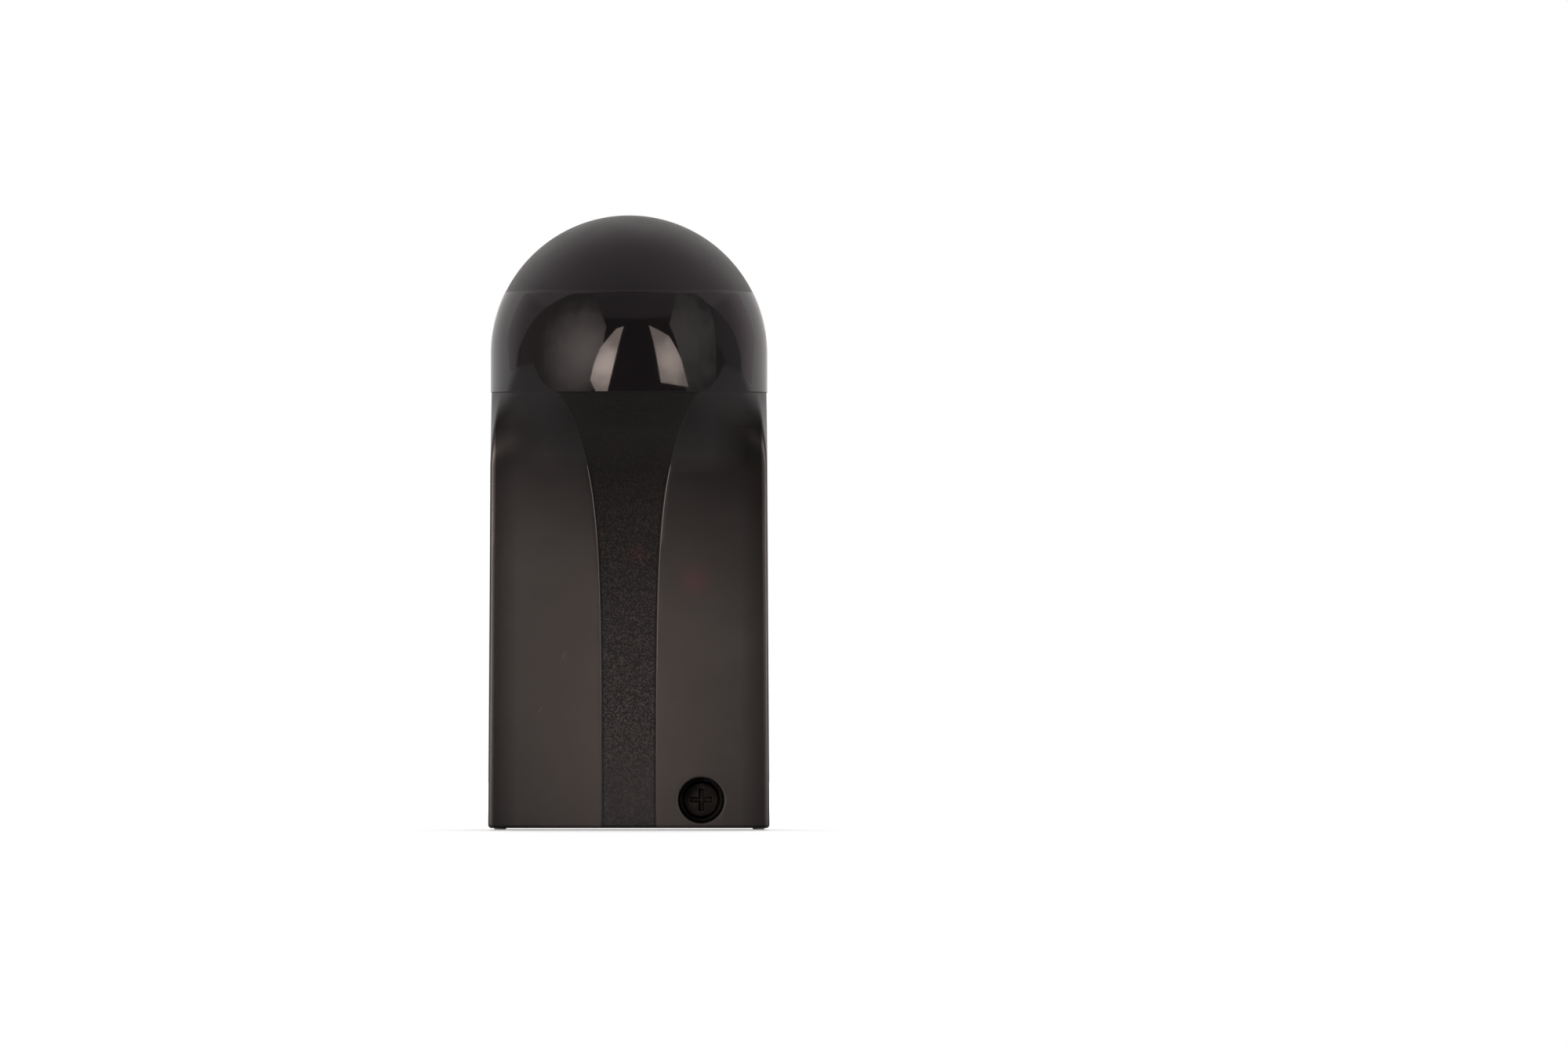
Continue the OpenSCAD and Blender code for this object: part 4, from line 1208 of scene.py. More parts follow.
        # Across places of the band's and the face's columns, in the flat or nose section's own width
        unit = side * ((1 - left) / math.sin(corner) + left)
        half = self.band_w(z) * np.where(z > self.dome_z, lv["ball"] / r, 1.0)
        lo, hi = half - self.band_slope / 2, half + self.band_slope / 2
        run = np.linspace(0, 1, self.slope_cols)
        inner = lo * np.linspace(0, 1, self.floor_cols + 1)[None, :-1]
        outer = hi + (unit * math.sin(a1) - hi) * np.linspace(0, 1, self.face_cols + 1)[None, 1:]
        x = np.concatenate([inner, lo + (hi - lo) * run[None], outer], axis=1)
        a_face = np.arcsin(np.clip(x / np.maximum(unit, 1e-6), -1, 1))
        a_rest = np.concatenate([np.linspace(a1, a2, 9)[1:], np.linspace(a2, math.pi / 2, 13)[1:]])
        a = np.concatenate([a_face, np.broadcast_to(a_rest, (len(z), len(a_rest)))], axis=1)
        # Flat section: face, then a quarter circle at the front edge, then the side wall
        on_face, on_edge = a <= a1 + 1e-9, a < a2
        t = np.clip((a - a1) / (a2 - a1), 0, 1) * math.pi / 2
        rounded_x, rounded_d = side - edge_r + edge_r * np.sin(t), front - edge_r + edge_r * np.cos(t)
        wall_d = depth + (front - edge_r - depth) * np.cos(a) / math.cos(a2)
        flat_x = np.where(on_face, side * np.sin(a) / math.sin(corner), np.where(on_edge, rounded_x, side))
        flat_d = np.where(on_face, front, np.where(on_edge, rounded_d, wall_d))
        px = flat_x + left * ((side - lv["back"] * (side / r)) * np.sin(a) - flat_x)
        pd = flat_d + left * (depth + reach * np.cos(a) - flat_d)
        # The band's step, square to the skin, only under the lower crease
        sunk = np.concatenate([np.ones(self.floor_cols), 1 - run**2 * (3 - 2 * run),
                               np.zeros(self.face_cols + len(a_rest))])[None]
        below = np.clip((self.crease_z - 0.15 * self.step - z) / 0.12, 0, 1)
        tx, td = np.gradient(px, axis=1), np.gradient(pd, axis=1)
        size = np.maximum(np.hypot(tx, td), 1e-9)
        px = px + step * below * sunk * td / size
        pd = pd - step * below * sunk * tx / size
        px[:, 0] = 0.0
        # The side wall behind the dome's axis, then the left half as the right one's mirror image
        back_d = np.linspace(depth, self.rim_depth, 8)[None, 1:] + 0 * z
        px = np.concatenate([px, px[:, -1:] + 0 * back_d], axis=1)
        pd = np.concatenate([pd, back_d], axis=1)
        px = np.concatenate([-px[:, :0:-1], px], axis=1)
        pd = np.concatenate([pd[:, :0:-1], pd], axis=1)
        share = np.linspace(0, 1, 9)[:-1][:, None]
        px = np.concatenate([np.broadcast_to(px[:1], (len(share), px.shape[1])), px])
        pd = np.concatenate([self.rim_depth + (pd[:1] - self.rim_depth) * share, pd])
        pz = np.concatenate([np.broadcast_to(z[:1], (len(share), 1)), z])
        return np.stack([px, -pd, np.broadcast_to(pz, px.shape)], axis=-1), pz[:, 0]

    def shell(self) -> Surface:
        """The closed shell: the outer skin, the inner one turned round, and the rim between their edges.

        Returns:
            The closed surface, each face with the number of its zone.
        """
        outer, z = self.grid(0.0, self.band_step, self.edge_r)
        inner, _ = self.grid(self.wall, 0.0, self.inner_edge_r)
        rows, cols = outer.shape[:2]
        row_z = ((z[:-1] + z[1:]) / 2)[:, None]
        col = np.abs(np.arange(cols - 1) + 0.5 - cols // 2)[None]
        front = -(outer[:-1, :-1, 1] + outer[1:, 1:, 1]) / 2 > self.dome_depth
        # The grain ends within the slope, and what is left of the slope is a polished lip
        grain_end, lip_end = self.floor_cols + 5, self.floor_cols + 8
        wall_rows = (np.diff(z) == 0).sum()
        band = (row_z < self.crease_z) & (np.arange(rows - 1) >= wall_rows)[:, None] & front
        window = (row_z > self.crease_z) & (row_z < self.dome_z + self.crease_rise) & front
        lip = band & (row_z < self.sweep_z + 4) & (col > grain_end) & (col < lip_end)
        finish = np.select([window | lip, band & (col < grain_end)], [Zone.WINDOW.value, Zone.SPARK.value],
                           Zone.SATIN.value)
        out = Surface(outer.reshape(-1, 3), quads(rows, cols), finish.reshape(-1).tolist())
        within = Surface(inner.reshape(-1, 3), [f[::-1] for f in quads(rows, cols)])
        edges = ((outer[:, 0], inner[:, 0]), (inner[:, -1], outer[:, -1]), (inner[0], outer[0]))
        rim = [Surface(np.concatenate(pair), quads(2, len(pair[0]))) for pair in edges]
        return joined([out, *[part.painted(Zone.SATIN.value) for part in (within, *rim)]])

    def tube(self) -> Surface:
        """The well's tube: a turned wall and floor behind the face, flat where the bottom wall cuts it.

        Returns:
            The closed surface.
        """
        r = self.well_r + self.well_wall
        low, high = self.well_depth - self.well_floor, self.face_depth - self.wall / 2
        tube = turned([(0, low), (r - 0.3, low), (r, low + 0.3), (r, high), (0, high)], sides=96)
        tube.points[:, 2] = np.maximum(tube.points[:, 2], -(self.screw_z - self.bottom_z) + self.wall / 2)
        return tube.moved(self.screw_x, 0, self.screw_z).painted(Zone.SATIN.value)

    def cutter(self) -> Surface:
        """What the well and the screw's hole take away, with a round lip at the mouth.

        Returns:
            The closed surface.
        """
        r, s, d, f, m = self.well_r, self.shank_r, self.well_depth, self.face_depth, self.mouth_r
        low = d - self.well_floor - 1
        profile = [(0, low), (s, low), (s, d), (r - 0.25, d), (r, d + 0.25),
                   *arc(r + m, f - m, m, 180, 90, 5), (r + m, f + 1), (0, f + 1)]
        return turned(profile, sides=96).moved(self.screw_x, 0, self.screw_z).painted(Zone.SATIN.value)

    def build(self) -> None:
        """Makes the cover: the shell with the well's tube added and the well taken out of it."""
        skins = [SmokedPolycarbonate(zone).build() for zone in Zone]
        cover = make_piece("smoked_cover", self.shell(), skins, self.crisp_angle)
        reshape(cover, Change.ADD, self.tube(), skins)
        reshape(cover, Change.TAKE, self.cutter(), skins)
        shade_smooth(cover.data, self.crisp_angle)
        self.mount(cover, "front_cover", "smoked_polycarbonate", "cover")


@dataclass
class CaseBase(Assembly):
    """The pale base with its bosses, slots and feet, the gasket on its shoulder and the cable's grommet."""

    corner_cut: float = 0.7
    floor_t: float = 2.5
    slot_z: float = 44.0
    entry: tuple[float, float] = (-13.0, -43.4)

    def outline(self, inset: float) -> Array:
        """Outline of the case in front view, drawn in: flared sides with cut corners under a half circle.

        Args:
            inset: How far it is drawn in.

        Returns:
            The outline's points.
        """
        r, low, cut = self.dome_r - inset, self.bottom_z + inset, self.corner_cut
        wide = r + self.side_flare
        t = np.linspace(0, math.pi, 97)
        dome = np.stack([r * np.cos(t), self.dome_z + r * np.sin(t)], axis=-1)
        right = [(wide - cut, low), (wide, low + cut), (r, self.sweep_z)]
        return np.concatenate([right, dome, [(-x, z) for x, z in reversed(right)]])

    def levels(self, profile: Profile) -> Surface:
        """A solid of levels of that outline, from the inset and height of each."""
        return layers(np.stack([self.outline(i) for i, _ in profile]), np.array([h for _, h in profile]))

    def boss(self, x: float, z: float, r: float, top: float) -> Surface:
        """A round boss with a chamfered rim and a fillet at its foot.

        Args:
            x: Its place across.
            z: Its height on the wall.
            r: Its radius.
            top: Depth of its top.

        Returns:
            The closed surface.
        """
        f = self.floor_t
        profile = [(0, f - 1), (r + 0.5, f - 1), (r + 0.5, f), *arc(r + 0.5, f + 0.5, 0.5, 270, 180, 3),
                   (r, top - 0.2), (r - 0.2, top), (0, top)]
        return turned(profile, sides=40).moved(x, 0, z)

    def tray(self) -> Surface:
        """Floor, shoulder and the rim that reaches into the cover, as levels of the outline.

        Returns:
            The closed surface.
        """
        return self.levels([
            (0.6, 0.0), (0.28, 0.08), (0.15, 0.4), (0.15, 7.75), (0.22, 7.93), (0.4, 8.0), (2.1, 8.0),
            (2.25, 8.15), (2.25, 12.1), (2.35, 12.4), (2.55, 12.5), (3.3, 12.5), (3.55, 12.4), (3.65, 12.1),
            (3.65, 3.3), (3.8, 2.75), (4.4, 2.5)])

    def build(self) -> None:
        """Makes the base, the gasket and the grommet."""
        bx, (low, high), (kx, kz) = self.board_screw_x, self.board_screw_z, self.bracket_screw
        added, cut = [], []
        for side in (-1, 1):
            added += [self.boss(side * bx, low, 2.8, 10), self.boss(side * bx, high, 2.8, 10),
                      self.boss(side * kx, kz, 2.6, 5.5)]
            pad = stack(box_outline(9.4, 14.4, 4.69, 16), [(0, 1.5), (0, 3.1), (0.2, 3.3)])
            flared = [(-0.3, -1), (-0.3, 0), (0, 0.3), (0, 3.0), (-0.3, 3.3), (-0.3, 4.5)]
            slot = stack(box_outline(4.4, 8, 2.19, 16), flared)
            foot = rounded_block((2.2, 7.6, 1.3), 0.2)
            added += [pad.moved(0, 0, side * self.slot_z), foot.moved(side * 23.25, -4.0, -54.7)]
            cut.append(slot.moved(0, 0, side * self.slot_z))
            for x, z, start, end in ((bx, low, 4.8, 11), (bx, high, 4.8, 11), (kx, kz, 1.25, 6.5)):
                hole = [(0, start), (1.15, start), (1.15, end - 1.3), (1.45, end - 1.0), (1.45, end),
                        (0, end)]
                cut.append(turned(hole, sides=32).moved(side * x, 0, z))
        boss = turned([(0, 1.5), (3.66, 1.5), (3.66, 13.2), (3.46, 13.4), (0, 13.4)], sides=48)
        boss.points[:, 2] = np.maximum(boss.points[:, 2], self.bottom_z + 2.6 - self.screw_z)
        added.append(boss.moved(self.screw_x, 0, self.screw_z))
        bore = turned([(0, 4.0), (1.75, 4.0), (1.75, 13.1), (2.05, 13.4), (2.05, 14.5), (0, 14.5)], sides=40)
        entry = turned([(0, -1), (6, -1), (6, 1), (4.25, 1), (4.25, 3.5), (0, 3.5)], sides=64)
        cut += [bore.moved(self.screw_x, 0, self.screw_z), entry.moved(self.entry[0], 0, self.entry[1])]
        base = carved(self.tray(), [joined(added)], [joined(cut)])
        self.dress("pale_base", "rear_base", "pale_housing", {"pale_grey_abs": base})
        self.gasket()
        self.grommet()

    def gasket(self) -> None:
        """The seal on the shoulder, with two low lips: a ring of levels that closes on itself."""
        section = [(0.5, 8.02), (0.5, 8.7), (0.62, 8.92), (0.85, 9.0), (1.1, 8.9), (1.25, 8.75), (1.5, 8.75),
                   (1.65, 8.9), (1.9, 9.0), (2.13, 8.92), (2.25, 8.7), (2.25, 8.02), (1.4, 8.02)]
        ring = self.levels([*section, section[0]])
        ring.faces = ring.faces[:-2]
        self.dress("sealing_gasket", "base_gasket", "black_rubber", {"black_moulded_rubber": ring}, crease=60)

    def grommet(self) -> None:
        """The cable's grommet: a turned ring with two flanges, soft rims and a ribbed nose."""
        profile = [(2.5, 0.3), (2.7, 0.1), (5.7, 0.1), (5.9, 0.3), (5.85, 0.9), (5.7, 1.0), (4.2, 1.0),
                   (4.2, 2.5), (5.7, 2.5), (5.88, 2.62), (5.9, 3.3), (5.6, 3.5), (4.3, 3.52), (4.1, 3.7),
                   (4.0, 4.3), (3.82, 4.45), (3.85, 5.1), (3.62, 5.25), (3.65, 5.9), (3.42, 6.05),
                   (3.36, 6.85), (3.2, 7.0), (2.7, 7.0), (2.5, 6.8), (2.5, 0.3)]
        ring = turned(profile, sides=72).moved(self.entry[0], 0, self.entry[1])
        self.dress("entry_grommet", "cable_grommet", "black_rubber", {"black_moulded_rubber": ring},
                   crease=40)


@dataclass
class Fasteners(Assembly):
    """The cover's screw with its seal, and the small screws of the board and the bracket."""

    seat: float = 16.3
    bracket_face: float = 7.3

    def cover_screw(self) -> Surface:
        """The cover's screw: threaded shank, flat head with a rounded rim and a deep cross.

        Returns:
            The screw, in its place.
        """
        s = self.seat
        head = [(3.05, s), (3.3, s + 0.15), *arc(2.85, s + 1.95, 0.45, 0, 90, 5), (0, s + 2.4)]
        blank, cross = threaded_screw(1.7, 0.7, 4.8, s, head, 56), cross_recess(3.96, 0.9, s + 2.4, 1.45)
        return carved(blank, [], [cross]).moved(self.screw_x, 0, self.screw_z)

    def small_screw(self) -> Surface:
        """A small pan-head screw whose head begins at height 0."""
        head = [(1.95, 0), (2.1, 0.15), (2.1, 0.7), *arc(0.95, 0.35, 1.15, 14, 90, 6), (0, 1.5)]
        return carved(threaded_screw(1.1, 0.5, -6, 0, head, 32), [], [cross_recess(2.5, 0.6, 1.5, 0.8)])

    def build(self) -> None:
        """Makes the screws and the sealing washer."""
        self.dress("well_screw", "cover_screw", "black_steel", {"black_passivated_steel": self.cover_screw()},
                   "screw")
        ring = turned([(1.75, 15.6), (1.85, 15.5), (3.1, 15.5), (3.3, 15.7), (3.3, 16.1), (3.1, 16.3),
                       (1.85, 16.3), (1.75, 16.2), (1.75, 15.6)]).moved(self.screw_x, 0, self.screw_z)
        self.dress("well_seal", "screw_seal", "black_rubber", {"black_moulded_rubber": ring}, "seal", 50)
        one, (x, z) = self.small_screw(), self.bracket_screw
        sets = {"board": self.board_screws(self.board_face),
                "bracket": [(side * x, -self.bracket_face, z) for side in (-1, 1)]}
        for name, places in sets.items():
            self.dress(f"{name}_pan_screws", f"{name}_screws", "zinc_steel",
                       {"bright_zinc_plated_steel": one.copied(places)})


@dataclass
class Optic(Assembly):
    """The bracket, the turret that pans, the barrel that tilts and what the barrel holds."""

    tilt_z: float = 31.1
    wire_x: tuple[float, float, float] = (-1.15, 0.0, 1.15)
    wire_r: float = 0.5
    lens_r: float = 12.0

    def bracket(self) -> Surface:
        """The shelf with its round end on a foot that lies on two bosses.

        Returns:
            The bracket, in its place.
        """
        t = np.linspace(0, math.pi, 33)
        end = np.stack([6.4 * np.cos(t + math.pi), -self.dome_depth + 6.4 * np.sin(t + math.pi)], axis=-1)
        outline = np.concatenate([end, [(6.4, -5.6), (-6.4, -5.6)]])
        shelf = stack(outline, soft_profile(13.1, 15.6, 0.3), Axis.UP)
        foot = rounded_block((26, 1.8, 11.5), 0.35).moved(0, -6.4, 9.85)
        pivot = turned([(0, 12), (3.35, 12), (3.35, 13.1), (3.05, 13.4), (3.05, 15.3), (3.35, 15.6),
                        (3.35, 17), (0, 17)], Axis.UP, 48).moved(0, -self.dome_depth, 0)
        x, z = self.bracket_screw
        hole = turned([(0, 4.5), (1.35, 4.5), (1.35, 8.5), (0, 8.5)], sides=32)
        holes = hole.copied([(-x, 0, z), (x, 0, z)])
        return carved(shelf, [foot], [joined([pivot, holes])])

    def turret(self) -> Surface:
        """The yoke: a round floor with two flats, two round-topped arms and a hollow pivot with a lip.

        Returns:
            The turret, in its place.
        """
        d, flat_y = self.dome_depth, 8.25
        floor = turned([(0, 15.85), (10.25, 15.85), (10.5, 16.0), (12.2, 17.15), (12.1, 17.35), (0, 17.35)],
                       Axis.UP, 96)
        floor.points[:, 1] = np.clip(floor.points[:, 1], -flat_y, flat_y)
        t = np.linspace(0, math.pi, 25)
        round_top = np.stack([-d + 3.5 * np.cos(t), self.tilt_z + 3.5 * np.sin(t)], axis=-1)
        side = np.concatenate([round_top, [(-d - 3.5, 16.6), (-d + 3.5, 16.6)]])
        arms = [stack(side, soft_profile(low, low + 1.9, 0.25), Axis.ACROSS) for low in (-11.5, 9.6)]
        pivot = turned([(0, 12), (2.8, 12), (3.6, 12.85), (3.55, 13.0), (3.0, 13.0), (3.0, 16.2), (0, 16.2)],
                       Axis.UP, 48)
        bore = turned([(0, 11), (2.1, 11), (2.1, 12), (1.9, 12.2), (1.9, 17.0), (2.3, 17.35), (2.3, 18),
                       (0, 18)], Axis.UP, 40)
        pin = turned([(0, -13), (1.55, -13), (1.55, 13), (0, 13)], Axis.ACROSS, 40).moved(0, -d, self.tilt_z)
        return carved(floor.moved(0, -d), [*arms, pivot.moved(0, -d)], [bore.moved(0, -d), pin])

    def barrel(self) -> Surface:
        """The barrel: a turned tube with baffle threads inside and shallow grip grooves outside.

        Returns:
            The barrel, in its place.
        """
        outside = [(8.35, 11.0), (9.05, 11.0), (9.25, 11.2), (9.25, 12.6)]
        for h in (13.2, 14.0, 14.8, 27.6, 28.4, 29.2):
            outside += [(9.25, h), (9.05, h + 0.15), (9.05, h + 0.35), (9.25, h + 0.5)]
        outside += [(9.25, 32.8), (9.05, 33.0), (8.45, 33.0), (8.3, 32.85), (8.3, 29.5), (7.4, 29.5)]
        inside = [(7.4 - 0.25 * (k % 2), h) for k, h in enumerate(np.arange(29.0, 14.2, -0.5).tolist())]
        profile = [*outside, *inside, (7.35, 13.5), (8.3, 13.5), (8.3, 11.05), (8.35, 11.0)]
        pins = [turned([(0, s * 8.9), (1.5, s * 8.9), (1.5, s * 11.3), (1.3, s * 11.5), (0, s * 11.5)],
                       Axis.ACROSS, 40).moved(0, -self.dome_depth, self.tilt_z) for s in (-1, 1)]
        return carved(turned(profile, sides=128).moved(0, 0, self.tilt_z), pins, [])

    def lens(self) -> Surface:
        """The lens: a flat back, a short rim and a round front.

        Returns:
            The lens, with its axis through the origin.
        """
        r, rim_r, tip = self.lens_r, 8.2, 34.386
        a = np.linspace(math.asin(rim_r / r), 0, 25)
        front = list(zip((r * np.sin(a)).tolist(), (tip - r + r * np.cos(a)).tolist()))
        return turned([(0, 29.5), (8.05, 29.5), (8.25, 29.7), (8.25, 31.0), *front], sides=96)

    def leads(self) -> tuple[Array, Array]:
        """Paths of one wire: from the connector up through the pivot, and on to the round board's back.

        Returns:
            The points of the lower path and those of the upper one.
        """
        bend_r, bend_y = 2.5, -16
        t = np.radians(np.linspace(0, 90, 9))
        axis_y = -self.dome_depth
        low = [(0, bend_y - bend_r * math.sin(a), 10.582 - bend_r * math.cos(a)) for a in t]
        low += [(0, axis_y, z) for z in (11.5, 12.9, 14.35)]
        high = [(0, axis_y, z) for z in (14.55, 15.4, 16.1)]
        high += [(0, bend_y - bend_r * math.cos(a), 16.1 + bend_r * math.sin(a)) for a in t[1:]]
        tail = smooth_path([(0, -15, 18.6), (0, -12.5, 18.62), (0, -10.3, 18.9), (0, -8.95, 20.4),
                            (0, -8.95, 23.2), (0, -9.9, 26.0), (0, -11.2, 27.2), (0, -12.3, 27.5)], 7)
        return np.array(low), np.concatenate([np.array(high), tail])

    def build(self) -> None:
        """Makes all pieces of the optic."""
        up = self.tilt_z
        self.dress("optic_bracket", "head_bracket", "black_nylon",
                   {"black_glass_filled_nylon": self.bracket()})
        self.dress("pan_turret", "head_turret", "black_nylon",
                   {"black_glass_filled_nylon": self.turret()}, "turret")
        self.dress("tilt_barrel", "lens_barrel", "black_nylon",
                   {"matt_black_barrel_nylon": self.barrel()}, "barrel")
        self.dress("front_lens", "receiver_lens", "clear_acrylic",
                   {"clear_acrylic": self.lens().moved(0, 0, up)}, "barrel")
        disc = turned([(0, 12.3), (8.2, 12.3), (8.25, 12.35), (8.25, 13.45), (8.2, 13.5), (0, 13.5)],
                      sides=96)
        pad = turned([(0, 12.32), (0.75, 12.32), (0.75, 12.22), (0.35, 12.0), (0, 11.85)], sides=20)
        pads = pad.copied([(x, 0, -3.6) for x in self.wire_x])
        self.dress("round_board", "receiver_board", "board_laminate",
                   {"solder_resist_over_tracks": disc.moved(0, 0, up), "tinned_copper": pads.moved(0, 0, up)},
                   "barrel")
        body = stack(box_outline(4.4, 5.0, 0.25, 3), soft_profile(13.5, 14.8, 0.12, 2))
        window = turned([(0, 14.7), (1.3, 14.7), (1.3, 14.95), *arc(0, 13.4, 1.7, 50, 90, 6)], sides=40)
        legs = blocks((0.9, 0.25, 0.5), 0.08, [(x, -13.62, z) for x in (-1.27, 1.27) for z in (-2.7, 2.7)])
        self.dress("detector", "photodiode", "black_epoxy",
                   {"black_moulded_epoxy": body.moved(0, 0, up),
                    "photodiode_daylight_filter_epoxy": window.moved(0, 0, up),
                    "tinned_copper": legs.moved(0, 0, up)}, "barrel")
        low, high = [swept_tube(path, self.wire_r, 20).copied([(x, 0, 0) for x in self.wire_x])
                     for path in self.leads()]
        self.dress("leads_to_board", "sensor_leads_lower", "wire_sleeve", {"red_pvc_sleeve": low}, crease=40)
        upper = self.dress("leads_to_detector", "sensor_leads_upper", "wire_sleeve",
                           {"red_pvc_sleeve": high}, "", 40)
        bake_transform(upper)


@dataclass
class BoardParts(Assembly):
    """The main board and everything soldered to it."""

    low: float = -36.9
    width: float = 40.6
    height: float = 49.0
    ways: tuple[float, ...] = (-10.0, -5.0, 0.0, 5.0, 10.0)
    header_pitch: float = 2.54

    def at(self, across: float, up: float) -> tuple[float, float]:
        """A place on the board, from its share of the half width and of the height."""
        return across * self.width / 2, self.low + up * self.height

    def joints(self) -> list[Place]:
        """Places of the solder joints on the back, part by part in the order of the methods below.

        Returns:
            The places.
        """
        pins = [(x, -33.3) for x in self.ways] + [(x, z) for z in (-21, -7.5) for x in (-17.0, -9.8)]
        pins += [(13.6, -22.96), (13.6, -20.46), (-3.2, -23.3), (-3.2, -19.7)]
        pins += [(4.6 + s * 2.9, -24.5 + 3.1 * i) for i in range(4) for s in (-1, 1)]
        pins += [(7.0, 1.12 + self.header_pitch * i) for i in (-1, 0, 1)] + [(x, 8.08) for x in (-2, 0, 2)]
        pins += [(-15.6, 1.52), (-10.75, 1.52), (1.7, -7.05), (1.7, -4.5), (11.6, -11.85), (11.6, -9.3)]
        return [(x, 0, z) for x, z in pins]

    def board(self) -> None:
        """The board: resist on both faces, a sawn edge, four tinned screw holes and solder joints."""
        sheet = stack(box_outline(self.width, self.height, 1.5),
                      [(0.05, 10.0), (0, 10.05), (0, 11.55), (0.05, 11.6)])
        hole = turned([(0, 9), (1.35, 9), (1.35, 12.5), (0, 12.5)], sides=32)
        land = turned([(1.35, 9.97), (2.6, 9.97), (2.6, 11.63), (1.35, 11.63), (1.35, 9.97)], sides=40)
        bead = turned([(0, 10.02), (0.85, 10.02), (0.7, 9.85), (0.35, 9.35), (0.25, 8.9), (0, 8.8)], sides=20)
        sheet = carved(sheet.moved(0, 0, self.low + self.height / 2), [], [hole.copied(self.board_screws())])
        metal = joined([land.copied(self.board_screws()), bead.copied(self.joints())])
        piece = self.dress("circuit_board", "main_board", "board_laminate",
                           {"solder_resist_over_tracks": sheet, "tinned_copper": metal})
        # Faces of the sheet that look sideways are its sawn edge
        faces = piece.data.polygons
        normals, index = np.empty(len(faces) * 3), np.empty(len(faces), np.int32)
        faces.foreach_get("normal", normals)
        faces.foreach_get("material_index", index)
        piece.data.materials.append(self.finishes["glass_cloth_laminate_edge"])
        index[(index == 0) & (np.abs(normals.reshape(-1, 3)[:, 1]) < 0.5)] = len(piece.data.materials) - 1
        faces.foreach_set("material_index", index)

    def terminals(self) -> None:
        """The five-way terminal block with its wire clamps and screws."""
        f, z0 = self.board_face, -36.1
        hole_z = z0 + 2.8
        block = stack(box_outline(25.5, 8.2, 0.4, 3), [(0.1, 0), (0, 0.1), (0, 9.6), (0.1, 9.9), (0.3, 10)],
                      base=f)
        mouths = blocks((3.8, 4.5, 6.7), 0.15, [(x, -f - 3.25, z0 + 2.35) for x in self.ways])
        hole = turned([(0, 4.4), (1.9, 4.4), (1.9, 9.6), (2.2, 10), (2.2, 11), (0, 11)], sides=40, base=f)
        holes = hole.copied([(x, 0, hole_z) for x in self.ways])
        seams = blocks((0.25, 0.5, 9), 0.05, [(x + 2.5, -f - 10, z0 + 4.1) for x in self.ways[:-1]])
        block = carved(block.moved(0, 0, z0 + 4.1), [], [mouths, holes, seams])
        self.dress("screw_terminals", "terminal_block", "green_nylon", {"green_nylon": block})
        bore = turned([(0, 0.5), (1.15, 0.5), (1.15, 4), (0, 4)], sides=32)
        cage = carved(rounded_block((3.6, 4.4, 5.5), 0.25), [], [rounded_block((2.2, 3.0, 8), 0.15), bore])
        cages = cage.copied([(x, -f - 3.2, z0 + 2.85) for x in self.ways])
        self.dress("wire_clamps", "terminal_cages", "nickel_brass", {"nickel_plated_brass": cages})
        head = [(1.65, 17.1), (1.8, 17.25), (1.8, 18.8), (1.6, 19.1), (0, 19.1)]
        slot = rounded_block((4.4, 2.0, 0.6), 0.05).moved(0, -19.1, 0)
        screw = carved(threaded_screw(1.1, 0.45, 15.75, 17.1, head, 32), [], [slot])
        screws = []
        for x, a in zip(self.ways, (0.3, -0.5, 0.9, 0.1, -0.2)):
            spin = np.array([[math.cos(a), 0, -math.sin(a)], [0, 1, 0], [math.sin(a), 0, math.cos(a)]])
            screws.append(Surface(screw.points @ spin.T, screw.faces).moved(x, 0, hole_z))
        self.dress("clamp_screws", "terminal_screws", "zinc_steel",
                   {"bright_zinc_plated_steel": joined(screws)})

    def relay(self) -> None:
        """The relay: a blue box with a seam above its foot, soft edges and a small sealed vent."""
        profile = [(0.15, 0), (0, 0.15), (0, 1.5), (0.12, 1.6), (0.12, 1.75), (0, 1.85), (0, 10.4),
                   (0.08, 10.7), (0.3, 10.92), (0.55, 11)]
        x, z = self.at(-0.66, 0.461)
        box = stack(box_outline(10, 20, 0.9), profile, base=self.board_face).moved(x, 0, z)
        vent = turned([(0.5, 11.4), (0.5, 10.8), (0.8, 10.8), (0.8, 11.4), (0.5, 11.4)], sides=32,
                      base=self.board_face)
        box = carved(box, [], [vent.moved(x - 3, 0, z + 7.9)])
        self.dress("output_relay", "relay", "blue_case", {"blue_pbt": box})

    def capacitor(self) -> None:
        """The can capacitor: a sleeve that curls over both rims, a bare scored top and a pale stripe."""
        f, (x, z) = self.board_face, self.at(0.67, 0.31)
        profile = [(0, 0), (3.8, 0), (4, 0.15), (4, 0.45), (3.75, 0.65), (3.75, 0.85), (4, 1.05), (4, 10.4),
                   (3.9, 10.8), (3.6, 11), (3.3, 10.95), (3.2, 10.8), (0, 10.8)]
        sides = 72
        can = turned(profile, sides=sides, base=f).moved(x, 0, z)
        # Finish of each strip and step of the can: sleeve, stripe or bare metal
        kind = np.zeros((len(profile) - 1, sides), int)
        kind[4:9, 2:12] = 1
        kind[11:] = 2
        parts = [Surface(can.points, [face for face, k in zip(can.faces, kind.reshape(-1)) if k == which])
                 for which in range(3)]
        score = [rounded_block((s, 0.3, t), 0.08).moved(x, -f - 10.78, z)
                 for s, t in ((4.4, 0.25), (0.25, 4.4))]
        self.dress("smoothing_capacitor", "filter_capacitor", "sleeved_can",
                   {"shrunk_pvc_sleeve": parts[0], "sleeve_stripe_ink": parts[1],
                    "drawn_nickel_silver": joined([parts[2], *score])})

